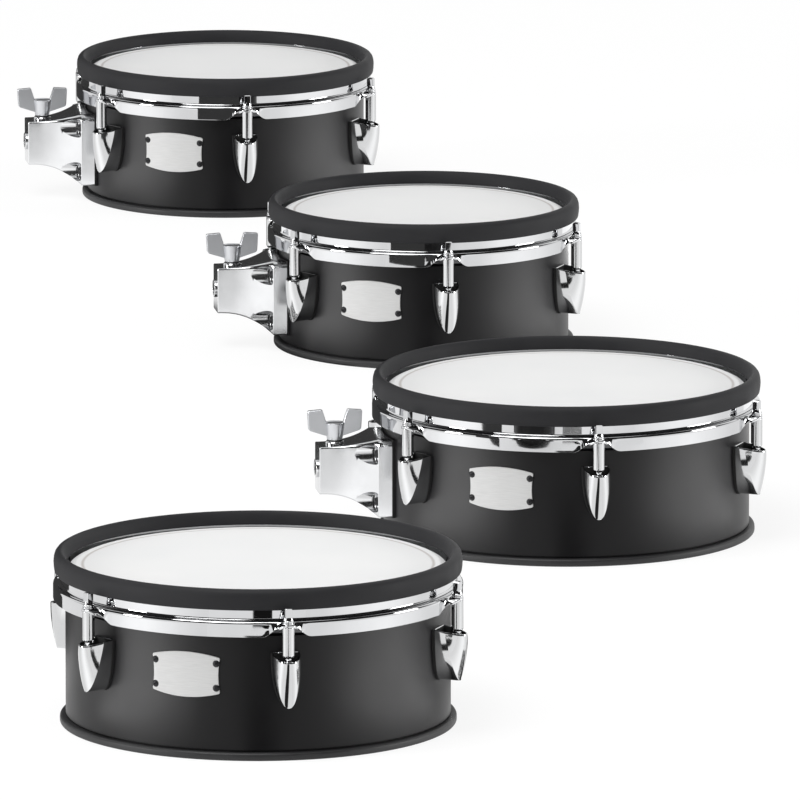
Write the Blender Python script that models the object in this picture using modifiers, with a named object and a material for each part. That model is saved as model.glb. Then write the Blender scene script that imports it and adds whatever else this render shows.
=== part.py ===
"""Four electronic drum pads with mesh heads: two small toms, a floor tom and a snare.

Each pad is a shell with six cast lugs on a bottom ring, a flanged steel hoop with a rubber rim cover,
a mesh head in its flesh hoop, a sensor unit under the head, and six tension rods that draw the hoop down.
The toms also have a cast rod bracket with a wing bolt and a clamp shoe.  Metres, +Z up.
"""

import math
from collections import namedtuple

import bmesh
import bpy
from mathutils import Matrix, Vector

COLLECTION_NAME = "electronic_drum_kit"

# Pads: shell radii, heights to the top of the rim cover, and floor places (right, back)
SMALL_SHELL_RADIUS = 0.1310
LARGE_SHELL_RADIUS = 0.1565
SMALL_TOM_HEIGHT = 0.1330
FLOOR_TOM_HEIGHT = 0.1385
SNARE_HEIGHT = 0.1412
TOM_1_PLACE = (-0.011, 1.045)
TOM_2_PLACE = (0.062, 0.270)
FLOOR_TOM_PLACE = (0.055, -0.596)
SNARE_PLACE = (-0.315, -1.329)

# Lugs and rods stand round each pad; every ring has a flat side facing each lug
LUG_COUNT = 6
SIDES_PER_LUG = 4
RING_SIDES = LUG_COUNT * SIDES_PER_LUG
LUG_PITCH = 2 * math.pi / LUG_COUNT
ROD_SIDES = 6
CLEARANCE = 0.0003
FUSE = 0.0004
SHARP_ANGLE = math.radians(28)

# Shell: the wall, and the slimmer neck that the head slides over
SHELL_WALL = 0.0085
NECK_STEP = 0.0040
BEARING_FALL = 0.0018
BOTTOM_RING_HEIGHT = 0.0065
BOTTOM_RING_OVERHANG = 0.0048

# Rim cover, measured from the top of the pad and from the shell's radius
COVER_HEIGHT = 0.0168
COVER_CAP = 0.0110
COVER_OUT = 0.0095
COVER_IN = 0.0005
COVER_RIDGE_OUT = 0.0038
COVER_BULGE_DROP = 0.0088
COVER_SHOULDER_DROP = 0.0024
COVER_SHOULDER_IN = 0.0012
COVER_FOOT_IN = 0.0008

# Hoop: wall, ledge, waved skirt and ears
HOOP_SHEET = 0.0023
HOOP_WALL_OUT = 0.0045
HOOP_SKIRT_OUT = 0.0100
LEDGE_DROP = 0.0257
SKIRT_HEIGHT = 0.0130
EAR_STEP = 0.0010
EAR_TIP_ANGLE = math.radians(3.1)
EAR_ROOT_ANGLE = math.radians(5.2)
WAVE_END_ANGLE = math.radians(9.5)
EAR_BEYOND_ROD = 0.0048

# Mesh head and its flesh hoop
HEAD_DROP = 0.0114
MESH_THICKNESS = 0.0008
FLESH_OUT = 0.0034
FLESH_HEIGHT = 0.0080
TENSION_ROOM = 0.0021

# Tension rods and the sleeves under the ears
ROD_CIRCLE_OUT = 0.0170
ROD_RADIUS = 0.00315
ROD_FIT = 0.0006
ROD_COLLAR_RADIUS = 0.0048
ROD_COLLAR_TOP_RADIUS = 0.0044
ROD_COLLAR_HEIGHT = 0.0060
ROD_HEAD_WIDTH = 0.0060
ROD_HEAD_HEIGHT = 0.0072
SLEEVE_RADIUS = 0.0050
SLEEVE_TO_LUG = 0.0024
ROD_TIP_TO_SOCKET_END = 0.0028

# Lug casing: bullet outline on the shell, flat sides, round nose, open slanted mouth
SMALL_LUG_DROP = 0.0540
LARGE_LUG_DROP = 0.0522
LUG_HEIGHT = 0.0430
LUG_HALF_WIDTH = 0.0112
LUG_NOSE_OUT = 0.0255
LUG_TIP_OUT = 0.0195
LUG_SIDE_OUT = 0.0100
LUG_MOUTH_SLANT = 0.0043
LUG_WALL = 0.0017
LUG_CUP_DEPTH = 0.0120
LUG_LEVELS = (0.0, 0.52, 0.86, 1.0)
LUG_OUTLINE_POWER = 2.4
LUG_NOSE_SQUARENESS = 0.8
LUG_FOOT = 0.0010
ROD_SOCKET_DEPTH = 0.0090

# Sensor unit: bridge across the shell, foam cone under the head, output jack housing below
BRIDGE_WIDTH = 0.0240
BRIDGE_SHEET = 0.0025
BRIDGE_TAB = 0.0160
CONE_HEIGHT = 0.0300
CONE_BASE_RADIUS = 0.0170
CONE_TOP_RADIUS = 0.0110
CONE_SIDES = 8
JACK_BOX_LENGTH = 0.0380
JACK_BOX_HEIGHT = 0.0180
JACK_BORE_RADIUS = 0.0033
JACK_BORE_DEPTH = 0.0150
JACK_NUT_RADIUS = 0.0070
JACK_NUT_HEIGHT = 0.0022
JACK_SIDES = 6

# Tom bracket: curved flange on the shell, flared body, rod bore and clamp chamber
BRACKET_DROP = 0.0495
FLANGE_TO_RING = 0.0095
FLANGE_HEIGHT = SMALL_TOM_HEIGHT - BRACKET_DROP - BOTTOM_RING_HEIGHT - FLANGE_TO_RING
FLANGE_HALF_WIDTH = 0.0320
FLANGE_OUT = 0.0105
FLANGE_BACK = 0.0080
BRACKET_REACH = 0.0590
BRACKET_END_DROP = 0.0085
BRACKET_END_HEIGHT = 0.0410
BRACKET_END_HALF_WIDTH = 0.0140
BRACKET_CORNER = 0.0035
BRACKET_STATIONS = (0.0, 0.28, 0.55, 0.78, 1.0)
BRACKET_FLARE = 2.4
GASKET_THICKNESS = 0.0018
ROD_BORE_RADIUS = 0.0054
ROD_BORE_DEPTH = 0.0450
BORE_LIP_RADIUS = 0.0080
BORE_LIP_HEIGHT = 0.0020
BORE_SIDES = 8
SCREW_POCKET_RADIUS = 0.0065
SCREW_POCKET_INSET = 0.0082
SCREW_POCKET_RISE = 0.0115
SCREW_POCKET_FLOOR = 0.0018
SCREW_POCKET_SIDES = 8

# Wing bolt and clamp shoe
BOLT_OUT = 0.0440
BOLT_RADIUS = 0.0039
BOLT_FIT = 0.0004
BOLT_TRAVEL = 0.00375
BOLT_SIDES = 8
HUB_TOP_RADIUS = 0.0085
HUB_BASE_RADIUS = 0.0066
HUB_HEIGHT = 0.0150
HUB_LIFT = 0.0012
WING_THICKNESS = 0.0044
WING_SPAN = 0.0472
WING_HEIGHT = 0.0262
WING_TIP_WIDTH = 0.0127
WING_ROOT_HEIGHT = 0.0024
WING_HEEL_HEIGHT = 0.0082
WING_LEAN = 0.0010
COLLAR_RADIUS = 0.0080
COLLAR_HEIGHT = 0.0030
SHOE_LENGTH = 0.0160
SHOE_WIDTH = 0.0104
SHOE_HEIGHT = 0.0060
SHOE_INTO_BORE = 0.0004

Pad = namedtuple("Pad", "name radius height lug_drop place has_bracket")
PADS = (
    Pad("tom_1", SMALL_SHELL_RADIUS, SMALL_TOM_HEIGHT, SMALL_LUG_DROP, TOM_1_PLACE, True),
    Pad("tom_2", SMALL_SHELL_RADIUS, SMALL_TOM_HEIGHT, SMALL_LUG_DROP, TOM_2_PLACE, True),
    Pad("floor_tom", LARGE_SHELL_RADIUS, FLOOR_TOM_HEIGHT, LARGE_LUG_DROP, FLOOR_TOM_PLACE, True),
    Pad("snare", LARGE_SHELL_RADIUS, SNARE_HEIGHT, LARGE_LUG_DROP, SNARE_PLACE, False),
)

# Material looks: colour, metallic, roughness
LOOKS = {
    "shell_black": ((0.012, 0.012, 0.013), 0.0, 0.42),
    "ring_black": ((0.022, 0.022, 0.023), 0.0, 0.50),
    "cover_rubber": ((0.030, 0.030, 0.032), 0.0, 0.75),
    "chrome": ((0.86, 0.87, 0.88), 1.0, 0.06),
    "cast_chrome": ((0.80, 0.81, 0.82), 1.0, 0.14),
    "mesh_white": ((0.82, 0.82, 0.81), 0.0, 0.80),
    "gasket_black": ((0.015, 0.015, 0.015), 0.0, 0.80),
    "sensor_grey": ((0.20, 0.20, 0.21), 0.0, 0.70),
}


def clear_scene():
    """Remove every object that the file opened with."""
    for obj in list(bpy.data.objects):
        bpy.data.objects.remove(obj, do_unlink=True)


def new_collection(name):
    collection = bpy.data.collections.new(name)
    bpy.context.scene.collection.children.link(collection)
    return collection


clear_scene()
PARTS = new_collection(COLLECTION_NAME)
CUTTERS = new_collection("cutters")


def make_material(name):
    colour, metallic, roughness = LOOKS[name]
    material = bpy.data.materials.new(name)
    material.use_nodes = True
    shader = material.node_tree.nodes["Principled BSDF"]
    shader.inputs["Base Color"].default_value = (*colour, 1.0)
    shader.inputs["Metallic"].default_value = metallic
    shader.inputs["Roughness"].default_value = roughness
    return material


MATERIALS = {name: make_material(name) for name in LOOKS}


def corner_radius(flat_radius, sides=RING_SIDES):
    """Radius of a polygon's corners whose flat sides lie flat_radius from the centre."""
    return flat_radius / math.cos(math.pi / sides)


def add_object(name, mesh, look=None, parent=None, place=(0, 0, 0), turn=0.0, smooth=True):
    """Put a mesh in the parts collection as a named object, shaded smooth where it is round."""
    obj = bpy.data.objects.new(name, mesh)
    PARTS.objects.link(obj)
    obj.location = place
    obj.rotation_euler.z = turn
    obj.parent = parent
    if look and not mesh.materials:
        mesh.materials.append(MATERIALS[look])
    if smooth:
        mesh.shade_smooth()
        mesh.set_sharp_from_angle(angle=SHARP_ANGLE)
    return obj


def make_cutter(obj):
    """Move an object to the cutters, where it is drawn as wire and never built."""
    for collection in list(obj.users_collection):
        collection.objects.unlink(obj)
    CUTTERS.objects.link(obj)
    obj.hide_render = True
    obj.display_type = "WIRE"
    return obj


def add_boolean(obj, other, operation, solver="EXACT"):
    """Cut or join obj with another object, which becomes a cutter."""
    modifier = obj.modifiers.new(f"{operation.lower()}_{other.name}", "BOOLEAN")
    modifier.operation = operation
    modifier.solver = solver
    modifier.material_mode = "TRANSFER"
    modifier.object = make_cutter(other)
    return modifier


def baked(obj):
    """The evaluated mesh of an object in its own space; the object itself is removed."""
    bpy.context.view_layer.update()
    depsgraph = bpy.context.evaluated_depsgraph_get()
    mesh = bpy.data.meshes.new_from_object(obj.evaluated_get(depsgraph), depsgraph=depsgraph)
    mesh.name = obj.name
    bpy.data.objects.remove(obj, do_unlink=True)
    return mesh


def turned(name, profile, sides=RING_SIDES, look=None, parent=None, place=(0, 0, 0), closed=True):
    """A profile of (radius, height) points, listed down its outer side, turned about Z.

    Radii are those of the flat sides.  A flat side faces the front, so it also faces every lug.
    """
    mesh = bpy.data.meshes.new(name)
    points = [(corner_radius(radius, sides), 0.0, height) for radius, height in profile]
    edges = [(i, i + 1) for i in range(len(points) - 1)]
    if closed:
        edges.append((len(points) - 1, 0))
    mesh.from_pydata(points, edges, [])
    obj = add_object(name, mesh, look, parent, place, -math.pi / 2 + math.pi / sides)
    screw = obj.modifiers.new("turn", "SCREW")
    screw.axis = "Z"
    screw.angle = 2 * math.pi
    screw.steps = sides
    screw.render_steps = sides
    screw.use_merge_vertices = True
    screw.merge_threshold = 0.00001
    screw.use_smooth_shade = True
    return obj


def cylinder(name, radius, low, high, sides, parent=None, place=(0, 0)):
    """An upright cylinder between two heights."""
    profile = ((0.0, high), (radius, high), (radius, low), (0.0, low))
    return turned(name, profile, sides, None, parent, (*place, 0.0), closed=False)


def lofted(name, sections, look=None, parent=None, smooth=False):
    """A closed skin through sections of equal point counts, capped at both ends."""
    bm = bmesh.new()
    rings = [[bm.verts.new(point) for point in section] for section in sections]
    count = len(rings[0])
    for ring, following in zip(rings, rings[1:]):
        for i in range(count):
            j = (i + 1) % count
            bm.faces.new((ring[i], ring[j], following[j], following[i]))
    bm.faces.new(list(reversed(rings[0])))
    bm.faces.new(rings[-1])
    return skin_object(name, bm, look, parent, smooth)


def looped(name, sections, look=None, parent=None):
    """A closed skin through sections that run once round an axis and meet again."""
    bm = bmesh.new()
    rings = [[bm.verts.new(point) for point in section] for section in sections]
    count = len(rings[0])
    for k, ring in enumerate(rings):
        following = rings[(k + 1) % len(rings)]
        for i in range(count):
            j = (i + 1) % count
            bm.faces.new((ring[i], ring[j], following[j], following[i]))
    return skin_object(name, bm, look, parent, True)


def skin_object(name, bm, look=None, parent=None, smooth=False):
    """Weld a skin's meeting points, turn its faces outwards and make it an object."""
    bmesh.ops.remove_doubles(bm, verts=bm.verts, dist=0.000001)
    bmesh.ops.recalc_face_normals(bm, faces=bm.faces)
    mesh = bpy.data.meshes.new(name)
    bm.to_mesh(mesh)
    bm.free()
    return add_object(name, mesh, look, parent, smooth=smooth)


def block(name, low, high, look=None, parent=None):
    """A box between two corners, made from Blender's cube."""
    bm = bmesh.new()
    bmesh.ops.create_cube(bm, size=1.0)
    low = Vector(low)
    high = Vector(high)
    for vert in bm.verts:
        vert.co = (low + high) / 2 + vert.co * (high - low)
    return skin_object(name, bm, look, parent)


def plate(name, outline, thickness, look=None):
    """A flat outline of (x, z) points, thickness deep about the XZ plane, as a welded mesh object."""
    curve = bpy.data.curves.new(name, "CURVE")
    curve.dimensions = "2D"
    curve.fill_mode = "BOTH"
    curve.extrude = thickness / 2
    spline = curve.splines.new("POLY")
    spline.points.add(len(outline) - 1)
    for point, (x, z) in zip(spline.points, outline):
        point.co = (x, z, 0.0, 1.0)
    spline.use_cyclic_u = True
    flat = bpy.data.objects.new(name, curve)
    PARTS.objects.link(flat)
    mesh = baked(flat)
    bm = bmesh.new()
    bm.from_mesh(mesh)
    bmesh.ops.remove_doubles(bm, verts=bm.verts, dist=0.000001)
    bmesh.ops.transform(bm, matrix=Matrix.Rotation(math.pi / 2, 4, "X"), verts=bm.verts)
    return skin_object(name, bm, look)


def front_angles():
    """Angles from the front at which lugs, ears and rods stand."""
    return [k * LUG_PITCH for k in range(LUG_COUNT)]


def facing(angle, out, height=0.0):
    """The point that lies out from the axis, at an angle from the front towards +X."""
    return Vector((math.sin(angle) * out, -math.cos(angle) * out, height))


def ledge_height(pad):
    return pad.height - LEDGE_DROP


def head_height(pad):
    return pad.height - HEAD_DROP


def flesh_top(pad):
    return ledge_height(pad) - HOOP_SHEET - EAR_STEP / 2 - CLEARANCE


def mouth_height(pad):
    return pad.height - pad.lug_drop


def socket_end(pad):
    """Height at which the threaded socket in a lug ends."""
    return mouth_height(pad) - LUG_CUP_DEPTH - ROD_SOCKET_DEPTH


def lug_section(pad, level, inset=0.0, drop=None):
    """Seven points round a lug casing at a level, from 0 at the mouth to 1 at the tip.

    drop, when given, is the distance below the mouth, which stays parallel to the slanted mouth.
    """
    half = max(LUG_HALF_WIDTH * math.sqrt(1 - level**LUG_OUTLINE_POWER) - inset, 0.0)
    side = LUG_SIDE_OUT + (LUG_TIP_OUT - LUG_SIDE_OUT) * level
    nose = LUG_NOSE_OUT - (LUG_NOSE_OUT - LUG_TIP_OUT) * level**2 - inset
    back = -LUG_FOOT if inset == 0.0 else inset + GASKET_THICKNESS
    fall = LUG_HEIGHT * level if drop is None else drop
    slant = LUG_MOUTH_SLANT * max(1 - 2 * level, 0.0) if drop is None else 0.0
    corner = math.cos(math.pi / 4) ** LUG_NOSE_SQUARENESS
    corner_out = side + (nose - side) * corner
    points = [(-half, back), (-half, side), (-half * corner, corner_out), (0.0, nose)]
    points += [(half * corner, corner_out), (half, side), (half, back)]
    top = mouth_height(pad) - fall
    return [(x, -(pad.radius + out), top - slant * out / LUG_NOSE_OUT) for x, out in points]


def lug_casing(pad, name):
    """A hollow lug: loft from the pointed tip up to the mouth, then down inside to the cup's floor."""
    outside = [lug_section(pad, level) for level in reversed(LUG_LEVELS)]
    rim = lug_section(pad, 0.0, LUG_WALL)
    floor_level = LUG_CUP_DEPTH / LUG_HEIGHT
    floor = lug_section(pad, floor_level, LUG_WALL, LUG_CUP_DEPTH)
    casing = lofted(name, [*outside, rim, floor], "cast_chrome", smooth=True)
    bore = cylinder(f"{name}_socket", ROD_RADIUS + ROD_FIT, socket_end(pad), mouth_height(pad), ROD_SIDES)
    bore.location = facing(0.0, pad.radius + ROD_CIRCLE_OUT)
    add_boolean(casing, bore, "DIFFERENCE")
    return baked(casing)


def make_shell(pad, parent):
    """The shell with its neck and bearing edge, and the six lugs fused to its outside."""
    radius = pad.radius
    bottom = BOTTOM_RING_HEIGHT + CLEARANCE
    neck = radius - NECK_STEP
    shoulder = flesh_top(pad) - FLESH_HEIGHT - TENSION_ROOM
    edge = head_height(pad) - MESH_THICKNESS - CLEARANCE
    profile = (
        (radius - SHELL_WALL, edge),
        (neck, edge - BEARING_FALL),
        (neck, shoulder),
        (radius, shoulder),
        (radius, bottom),
        (radius - SHELL_WALL, bottom),
    )
    shell = turned(f"{pad.name}_shell", profile, look="shell_black", parent=parent)
    lug_mesh = lug_casing(pad, f"{pad.name}_lug")
    for number, angle in enumerate(front_angles(), 1):
        lug = add_object(f"{pad.name}_lug_{number}", lug_mesh, None, parent, (0, 0, 0), angle)
        add_boolean(shell, lug, "UNION")
    return shell


def make_bottom_ring(pad, parent):
    outer = pad.radius + BOTTOM_RING_OVERHANG
    inner = pad.radius - SHELL_WALL
    profile = ((outer, BOTTOM_RING_HEIGHT), (outer, 0.0), (inner, 0.0), (inner, BOTTOM_RING_HEIGHT))
    return turned(f"{pad.name}_bottom_ring", profile, look="ring_black", parent=parent)


def make_mesh_head(pad, parent):
    """Mesh disc over the bearing edge, down the neck and into the flesh hoop."""
    top = head_height(pad)
    edge = pad.radius - SHELL_WALL
    skirt_in = pad.radius - NECK_STEP + CLEARANCE
    skirt_out = skirt_in + MESH_THICKNESS
    flesh = flesh_top(pad)
    profile = (
        (0.0, top),
        (edge, top),
        (skirt_out, top - BEARING_FALL),
        (skirt_out, flesh),
        (pad.radius + FLESH_OUT, flesh),
        (pad.radius + FLESH_OUT, flesh - FLESH_HEIGHT),
        (skirt_in, flesh - FLESH_HEIGHT),
        (skirt_in, top - BEARING_FALL - MESH_THICKNESS),
        (edge, top - MESH_THICKNESS),
        (0.0, top - MESH_THICKNESS),
    )
    return turned(f"{pad.name}_mesh_head", profile, look="mesh_white", parent=parent, closed=False)


def make_rim_cover(pad, parent):
    top = pad.height
    radius = pad.radius
    groove = radius + HOOP_WALL_OUT + CLEARANCE
    profile = (
        (radius + COVER_RIDGE_OUT, top),
        (radius + COVER_OUT - COVER_SHOULDER_IN, top - COVER_SHOULDER_DROP),
        (radius + COVER_OUT, top - COVER_BULGE_DROP),
        (radius + COVER_OUT - COVER_FOOT_IN, top - COVER_HEIGHT),
        (groove, top - COVER_HEIGHT),
        (groove, top - COVER_CAP),
        (radius - COVER_IN, top - COVER_CAP),
    )
    return turned(f"{pad.name}_rim_cover", profile, look="cover_rubber", parent=parent)


def side_radius(flat_radius, angle):
    """Radius at an angle from a lug of a ring whose flat sides lie flat_radius from the centre."""
    side = 2 * math.pi / RING_SIDES
    off_centre = angle - side * round(angle / side)
    return flat_radius / math.cos(off_centre)


def hoop_section(pad, angle):
    """Eight points of the hoop's section at an angle from an ear's middle."""
    reach = abs(angle)
    radius = pad.radius
    ledge = ledge_height(pad)
    inner = side_radius(radius + HOOP_WALL_OUT - HOOP_SHEET, angle)
    outer = side_radius(radius + HOOP_WALL_OUT, angle)
    skirt = side_radius(radius + HOOP_SKIRT_OUT, angle)
    wall_top = pad.height - COVER_CAP - CLEARANCE
    blend = min(max((WAVE_END_ANGLE - reach) / (WAVE_END_ANGLE - EAR_TIP_ANGLE), 0.0), 1.0)
    rise = blend * blend * (3 - 2 * blend)
    plate_bottom = EAR_STEP + HOOP_SHEET
    depth = SKIRT_HEIGHT - (SKIRT_HEIGHT - plate_bottom) * rise
    is_ear = reach < EAR_ROOT_ANGLE
    step = EAR_STEP if is_ear else 0.0
    tip = (radius + ROD_CIRCLE_OUT + EAR_BEYOND_ROD) / math.cos(reach) if is_ear else skirt
    under = skirt - HOOP_SHEET
    return [
        (inner, wall_top),
        (outer, wall_top),
        (outer, ledge),
        (skirt, ledge - step),
        (tip, ledge - (step if is_ear else depth)),
        (tip, ledge - depth) if is_ear else (under, ledge - depth),
        (under, ledge - (plate_bottom if is_ear else HOOP_SHEET)),
        (inner, ledge - HOOP_SHEET),
    ]


def make_hoop(pad, parent):
    """The flanged hoop: a loft round the pad whose skirt waves up into six drilled ears with sleeves."""
    corner = LUG_PITCH / 2 - math.pi / RING_SIDES
    offsets = (-corner, -WAVE_END_ANGLE, -EAR_ROOT_ANGLE, -EAR_TIP_ANGLE)
    offsets += (EAR_TIP_ANGLE, EAR_ROOT_ANGLE, WAVE_END_ANGLE, corner)
    sections = []
    for lug_angle in front_angles():
        for offset in offsets:
            section = hoop_section(pad, offset)
            sections.append([facing(lug_angle + offset, out, height) for out, height in section])
    hoop = looped(f"{pad.name}_hoop", sections, "chrome", parent)
    ear_bottom = ledge_height(pad) - EAR_STEP - HOOP_SHEET
    sleeve_low = mouth_height(pad) - LUG_MOUTH_SLANT + SLEEVE_TO_LUG
    for number, angle in enumerate(front_angles(), 1):
        place = facing(angle, pad.radius + ROD_CIRCLE_OUT)[:2]
        name = f"{pad.name}_sleeve_{number}"
        sleeve = cylinder(name, SLEEVE_RADIUS, sleeve_low, ear_bottom + FUSE, ROD_SIDES, parent, place)
        add_boolean(hoop, sleeve, "UNION", "MANIFOLD")
    for number, angle in enumerate(front_angles(), 1):
        place = facing(angle, pad.radius + ROD_CIRCLE_OUT)[:2]
        name = f"{pad.name}_ear_hole_{number}"
        low = sleeve_low - FUSE
        hole = cylinder(name, ROD_RADIUS + ROD_FIT, low, ledge_height(pad), ROD_SIDES, parent, place)
        add_boolean(hoop, hole, "DIFFERENCE", "MANIFOLD")
    return hoop


def rod_mesh(pad, name):
    """A tension rod: square head on a collar that bears on the ear, and a shaft down into the lug."""
    seat = CLEARANCE
    collar_top = seat + ROD_COLLAR_HEIGHT
    ear_top = ledge_height(pad) - EAR_STEP
    tip = socket_end(pad) + ROD_TIP_TO_SOCKET_END - ear_top
    profile = (
        (0.0, collar_top),
        (ROD_COLLAR_TOP_RADIUS, collar_top),
        (ROD_COLLAR_RADIUS, seat),
        (ROD_RADIUS, seat),
        (ROD_RADIUS, tip),
        (0.0, tip),
    )
    rod = turned(name, profile, ROD_SIDES, "chrome", closed=False)
    half = ROD_HEAD_WIDTH / 2
    low = (-half, -half, collar_top - FUSE)
    high = (half, half, collar_top + ROD_HEAD_HEIGHT)
    add_boolean(rod, block(f"{name}_head", low, high, "chrome"), "UNION")
    return baked(rod)


def make_rods(pad, parent):
    mesh = rod_mesh(pad, f"{pad.name}_tension_rod")
    ear_top = ledge_height(pad) - EAR_STEP
    for number, angle in enumerate(front_angles(), 1):
        place = facing(angle, pad.radius + ROD_CIRCLE_OUT, ear_top)
        turn = angle - math.pi / 2 + math.pi / ROD_SIDES
        add_object(f"{pad.name}_tension_rod_{number}", mesh, "chrome", parent, place, turn)


def make_sensor_unit(pad, parent):
    """Bridge with tabs across the shell, a foam cone up to the head, and the jack housing."""
    name = f"{pad.name}_sensor_unit"
    half = pad.radius - SHELL_WALL - CLEARANCE
    head_under = head_height(pad) - MESH_THICKNESS
    top = head_under - CLEARANCE - CONE_HEIGHT
    outline = (
        (-half, top),
        (half, top),
        (half, top - BRIDGE_TAB),
        (half - BRIDGE_SHEET, top - BRIDGE_TAB),
        (half - BRIDGE_SHEET, top - BRIDGE_SHEET),
        (-half + BRIDGE_SHEET, top - BRIDGE_SHEET),
        (-half + BRIDGE_SHEET, top - BRIDGE_TAB),
        (-half, top - BRIDGE_TAB),
    )
    unit = plate(name, outline, BRIDGE_WIDTH, "sensor_grey")
    unit.parent = parent
    cone_profile = (
        (0.0, top + CONE_HEIGHT),
        (CONE_TOP_RADIUS, top + CONE_HEIGHT),
        (CONE_BASE_RADIUS, top - FUSE),
        (0.0, top - FUSE),
    )
    cone = turned(f"{name}_cone", cone_profile, CONE_SIDES, None, parent, closed=False)
    add_boolean(unit, cone, "UNION")
    box_top = top - BRIDGE_SHEET + FUSE
    low = (-JACK_BOX_LENGTH / 2, -BRIDGE_WIDTH / 2 + FUSE, box_top - JACK_BOX_HEIGHT)
    high = (JACK_BOX_LENGTH / 2, BRIDGE_WIDTH / 2 - FUSE, box_top)
    add_boolean(unit, block(f"{name}_housing", low, high, "sensor_grey", parent), "UNION")
    jack_face = box_top - JACK_BOX_HEIGHT
    nut_face = jack_face - JACK_NUT_HEIGHT
    nut = cylinder(f"{name}_nut", JACK_NUT_RADIUS, nut_face, jack_face + FUSE, JACK_SIDES, parent)
    add_boolean(unit, nut, "UNION")
    bore_end = jack_face + JACK_BORE_DEPTH
    bore = cylinder(f"{name}_jack", JACK_BORE_RADIUS, nut_face - FUSE, bore_end, JACK_SIDES, parent)
    add_boolean(unit, bore, "DIFFERENCE")
    return unit


def bracket_levels(pad):
    """Lowest and highest heights of the bracket's flange, then of its end face."""
    flange_top = pad.height - BRACKET_DROP
    end_top = flange_top - BRACKET_END_DROP
    return flange_top - FLANGE_HEIGHT, flange_top, end_top - BRACKET_END_HEIGHT, end_top


def bracket_section(pad, out, share):
    """Eight points round the bracket; share runs from 0 at the end face to 1 at the flange."""
    flange_low, flange_top, end_low, end_top = bracket_levels(pad)
    flare = share**BRACKET_FLARE
    half = BRACKET_END_HALF_WIDTH + (FLANGE_HALF_WIDTH - BRACKET_END_HALF_WIDTH) * flare
    low = end_low + (flange_low - end_low) * flare
    top = end_top + (flange_top - end_top) * flare
    corner = BRACKET_CORNER
    x = -(pad.radius + out)
    return [
        (x, -half, low + corner),
        (x, -half, top - corner),
        (x, -half + corner, top),
        (x, half - corner, top),
        (x, half, top - corner),
        (x, half, low + corner),
        (x, half - corner, low),
        (x, -half + corner, low),
    ]


def gasket_out():
    """Distance from the shell to the bracket's back, past the gasket."""
    return GASKET_THICKNESS + 2 * CLEARANCE


def bore_height(pad):
    return sum(bracket_levels(pad)[2:]) / 2


def sideways(obj, place):
    """Lay a turned object on its side, so that its axis runs along -X from a place."""
    obj.rotation_mode = "ZYX"
    obj.rotation_euler.y = -math.pi / 2
    obj.location = place
    return obj


def make_bracket(pad, parent):
    """The cast tom bracket: curved flange, flared body, rod bore, clamp chamber and screw pockets."""
    name = f"{pad.name}_bracket"
    flange_low, flange_top, end_low, end_top = bracket_levels(pad)
    sections = [
        bracket_section(pad, BRACKET_REACH + (FLANGE_OUT - BRACKET_REACH) * share, share)
        for share in BRACKET_STATIONS
    ]
    sections.append(bracket_section(pad, -FLANGE_BACK, 1.0))
    bracket = lofted(name, sections, "cast_chrome", parent)
    end_x = -(pad.radius + BRACKET_REACH)
    bore_z = bore_height(pad)
    bolt_x = -(pad.radius + BOLT_OUT)

    lip = cylinder(f"{name}_lip", BORE_LIP_RADIUS, -FUSE, BORE_LIP_HEIGHT, BORE_SIDES, parent)
    add_boolean(bracket, sideways(lip, (end_x, 0.0, bore_z)), "UNION", "MANIFOLD")
    collar_top = end_top + COLLAR_HEIGHT
    collar = cylinder(f"{name}_collar", COLLAR_RADIUS, end_top - FUSE, collar_top, BOLT_SIDES, parent)
    collar.location.x = bolt_x
    add_boolean(bracket, collar, "UNION", "MANIFOLD")

    back = pad.radius + gasket_out()
    shell_space = cylinder(f"{name}_shell_space", back, 0.0, pad.height, RING_SIDES, parent)
    add_boolean(bracket, shell_space, "DIFFERENCE", "MANIFOLD")
    mouth = BORE_LIP_HEIGHT + FUSE
    bore = cylinder(f"{name}_bore", ROD_BORE_RADIUS, -ROD_BORE_DEPTH, mouth, BORE_SIDES, parent)
    add_boolean(bracket, sideways(bore, (end_x, 0.0, bore_z)), "DIFFERENCE", "MANIFOLD")
    half_length = SHOE_LENGTH / 2 + CLEARANCE
    half_width = SHOE_WIDTH / 2 + CLEARANCE
    low = (bolt_x - half_length, -half_width, bore_z)
    high = (bolt_x + half_length, half_width, shoe_top(pad) + BOLT_TRAVEL + CLEARANCE)
    add_boolean(bracket, block(f"{name}_chamber", low, high, None, parent), "DIFFERENCE", "MANIFOLD")
    hole_top = collar_top + FUSE
    bolt_hole = cylinder(f"{name}_bolt_hole", BOLT_RADIUS + BOLT_FIT, bore_z, hole_top, BOLT_SIDES, parent)
    bolt_hole.location.x = bolt_x
    add_boolean(bracket, bolt_hole, "DIFFERENCE", "MANIFOLD")

    pocket_x = -(pad.radius + FLANGE_OUT + SCREW_POCKET_FLOOR)
    pocket_y = FLANGE_HALF_WIDTH - SCREW_POCKET_INSET
    for side in (-1, 1):
        for height in (flange_low + SCREW_POCKET_RISE, flange_top - SCREW_POCKET_RISE):
            level = "low" if height < bore_z else "high"
            face = "front" if side < 0 else "back"
            pocket_name = f"{name}_{face}_{level}_pocket"
            radius = SCREW_POCKET_RADIUS
            pocket = cylinder(pocket_name, radius, 0.0, BRACKET_REACH, SCREW_POCKET_SIDES, parent)
            sideways(pocket, (pocket_x, side * pocket_y, height))
            add_boolean(bracket, pocket, "DIFFERENCE", "MANIFOLD")
    return bracket


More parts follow.
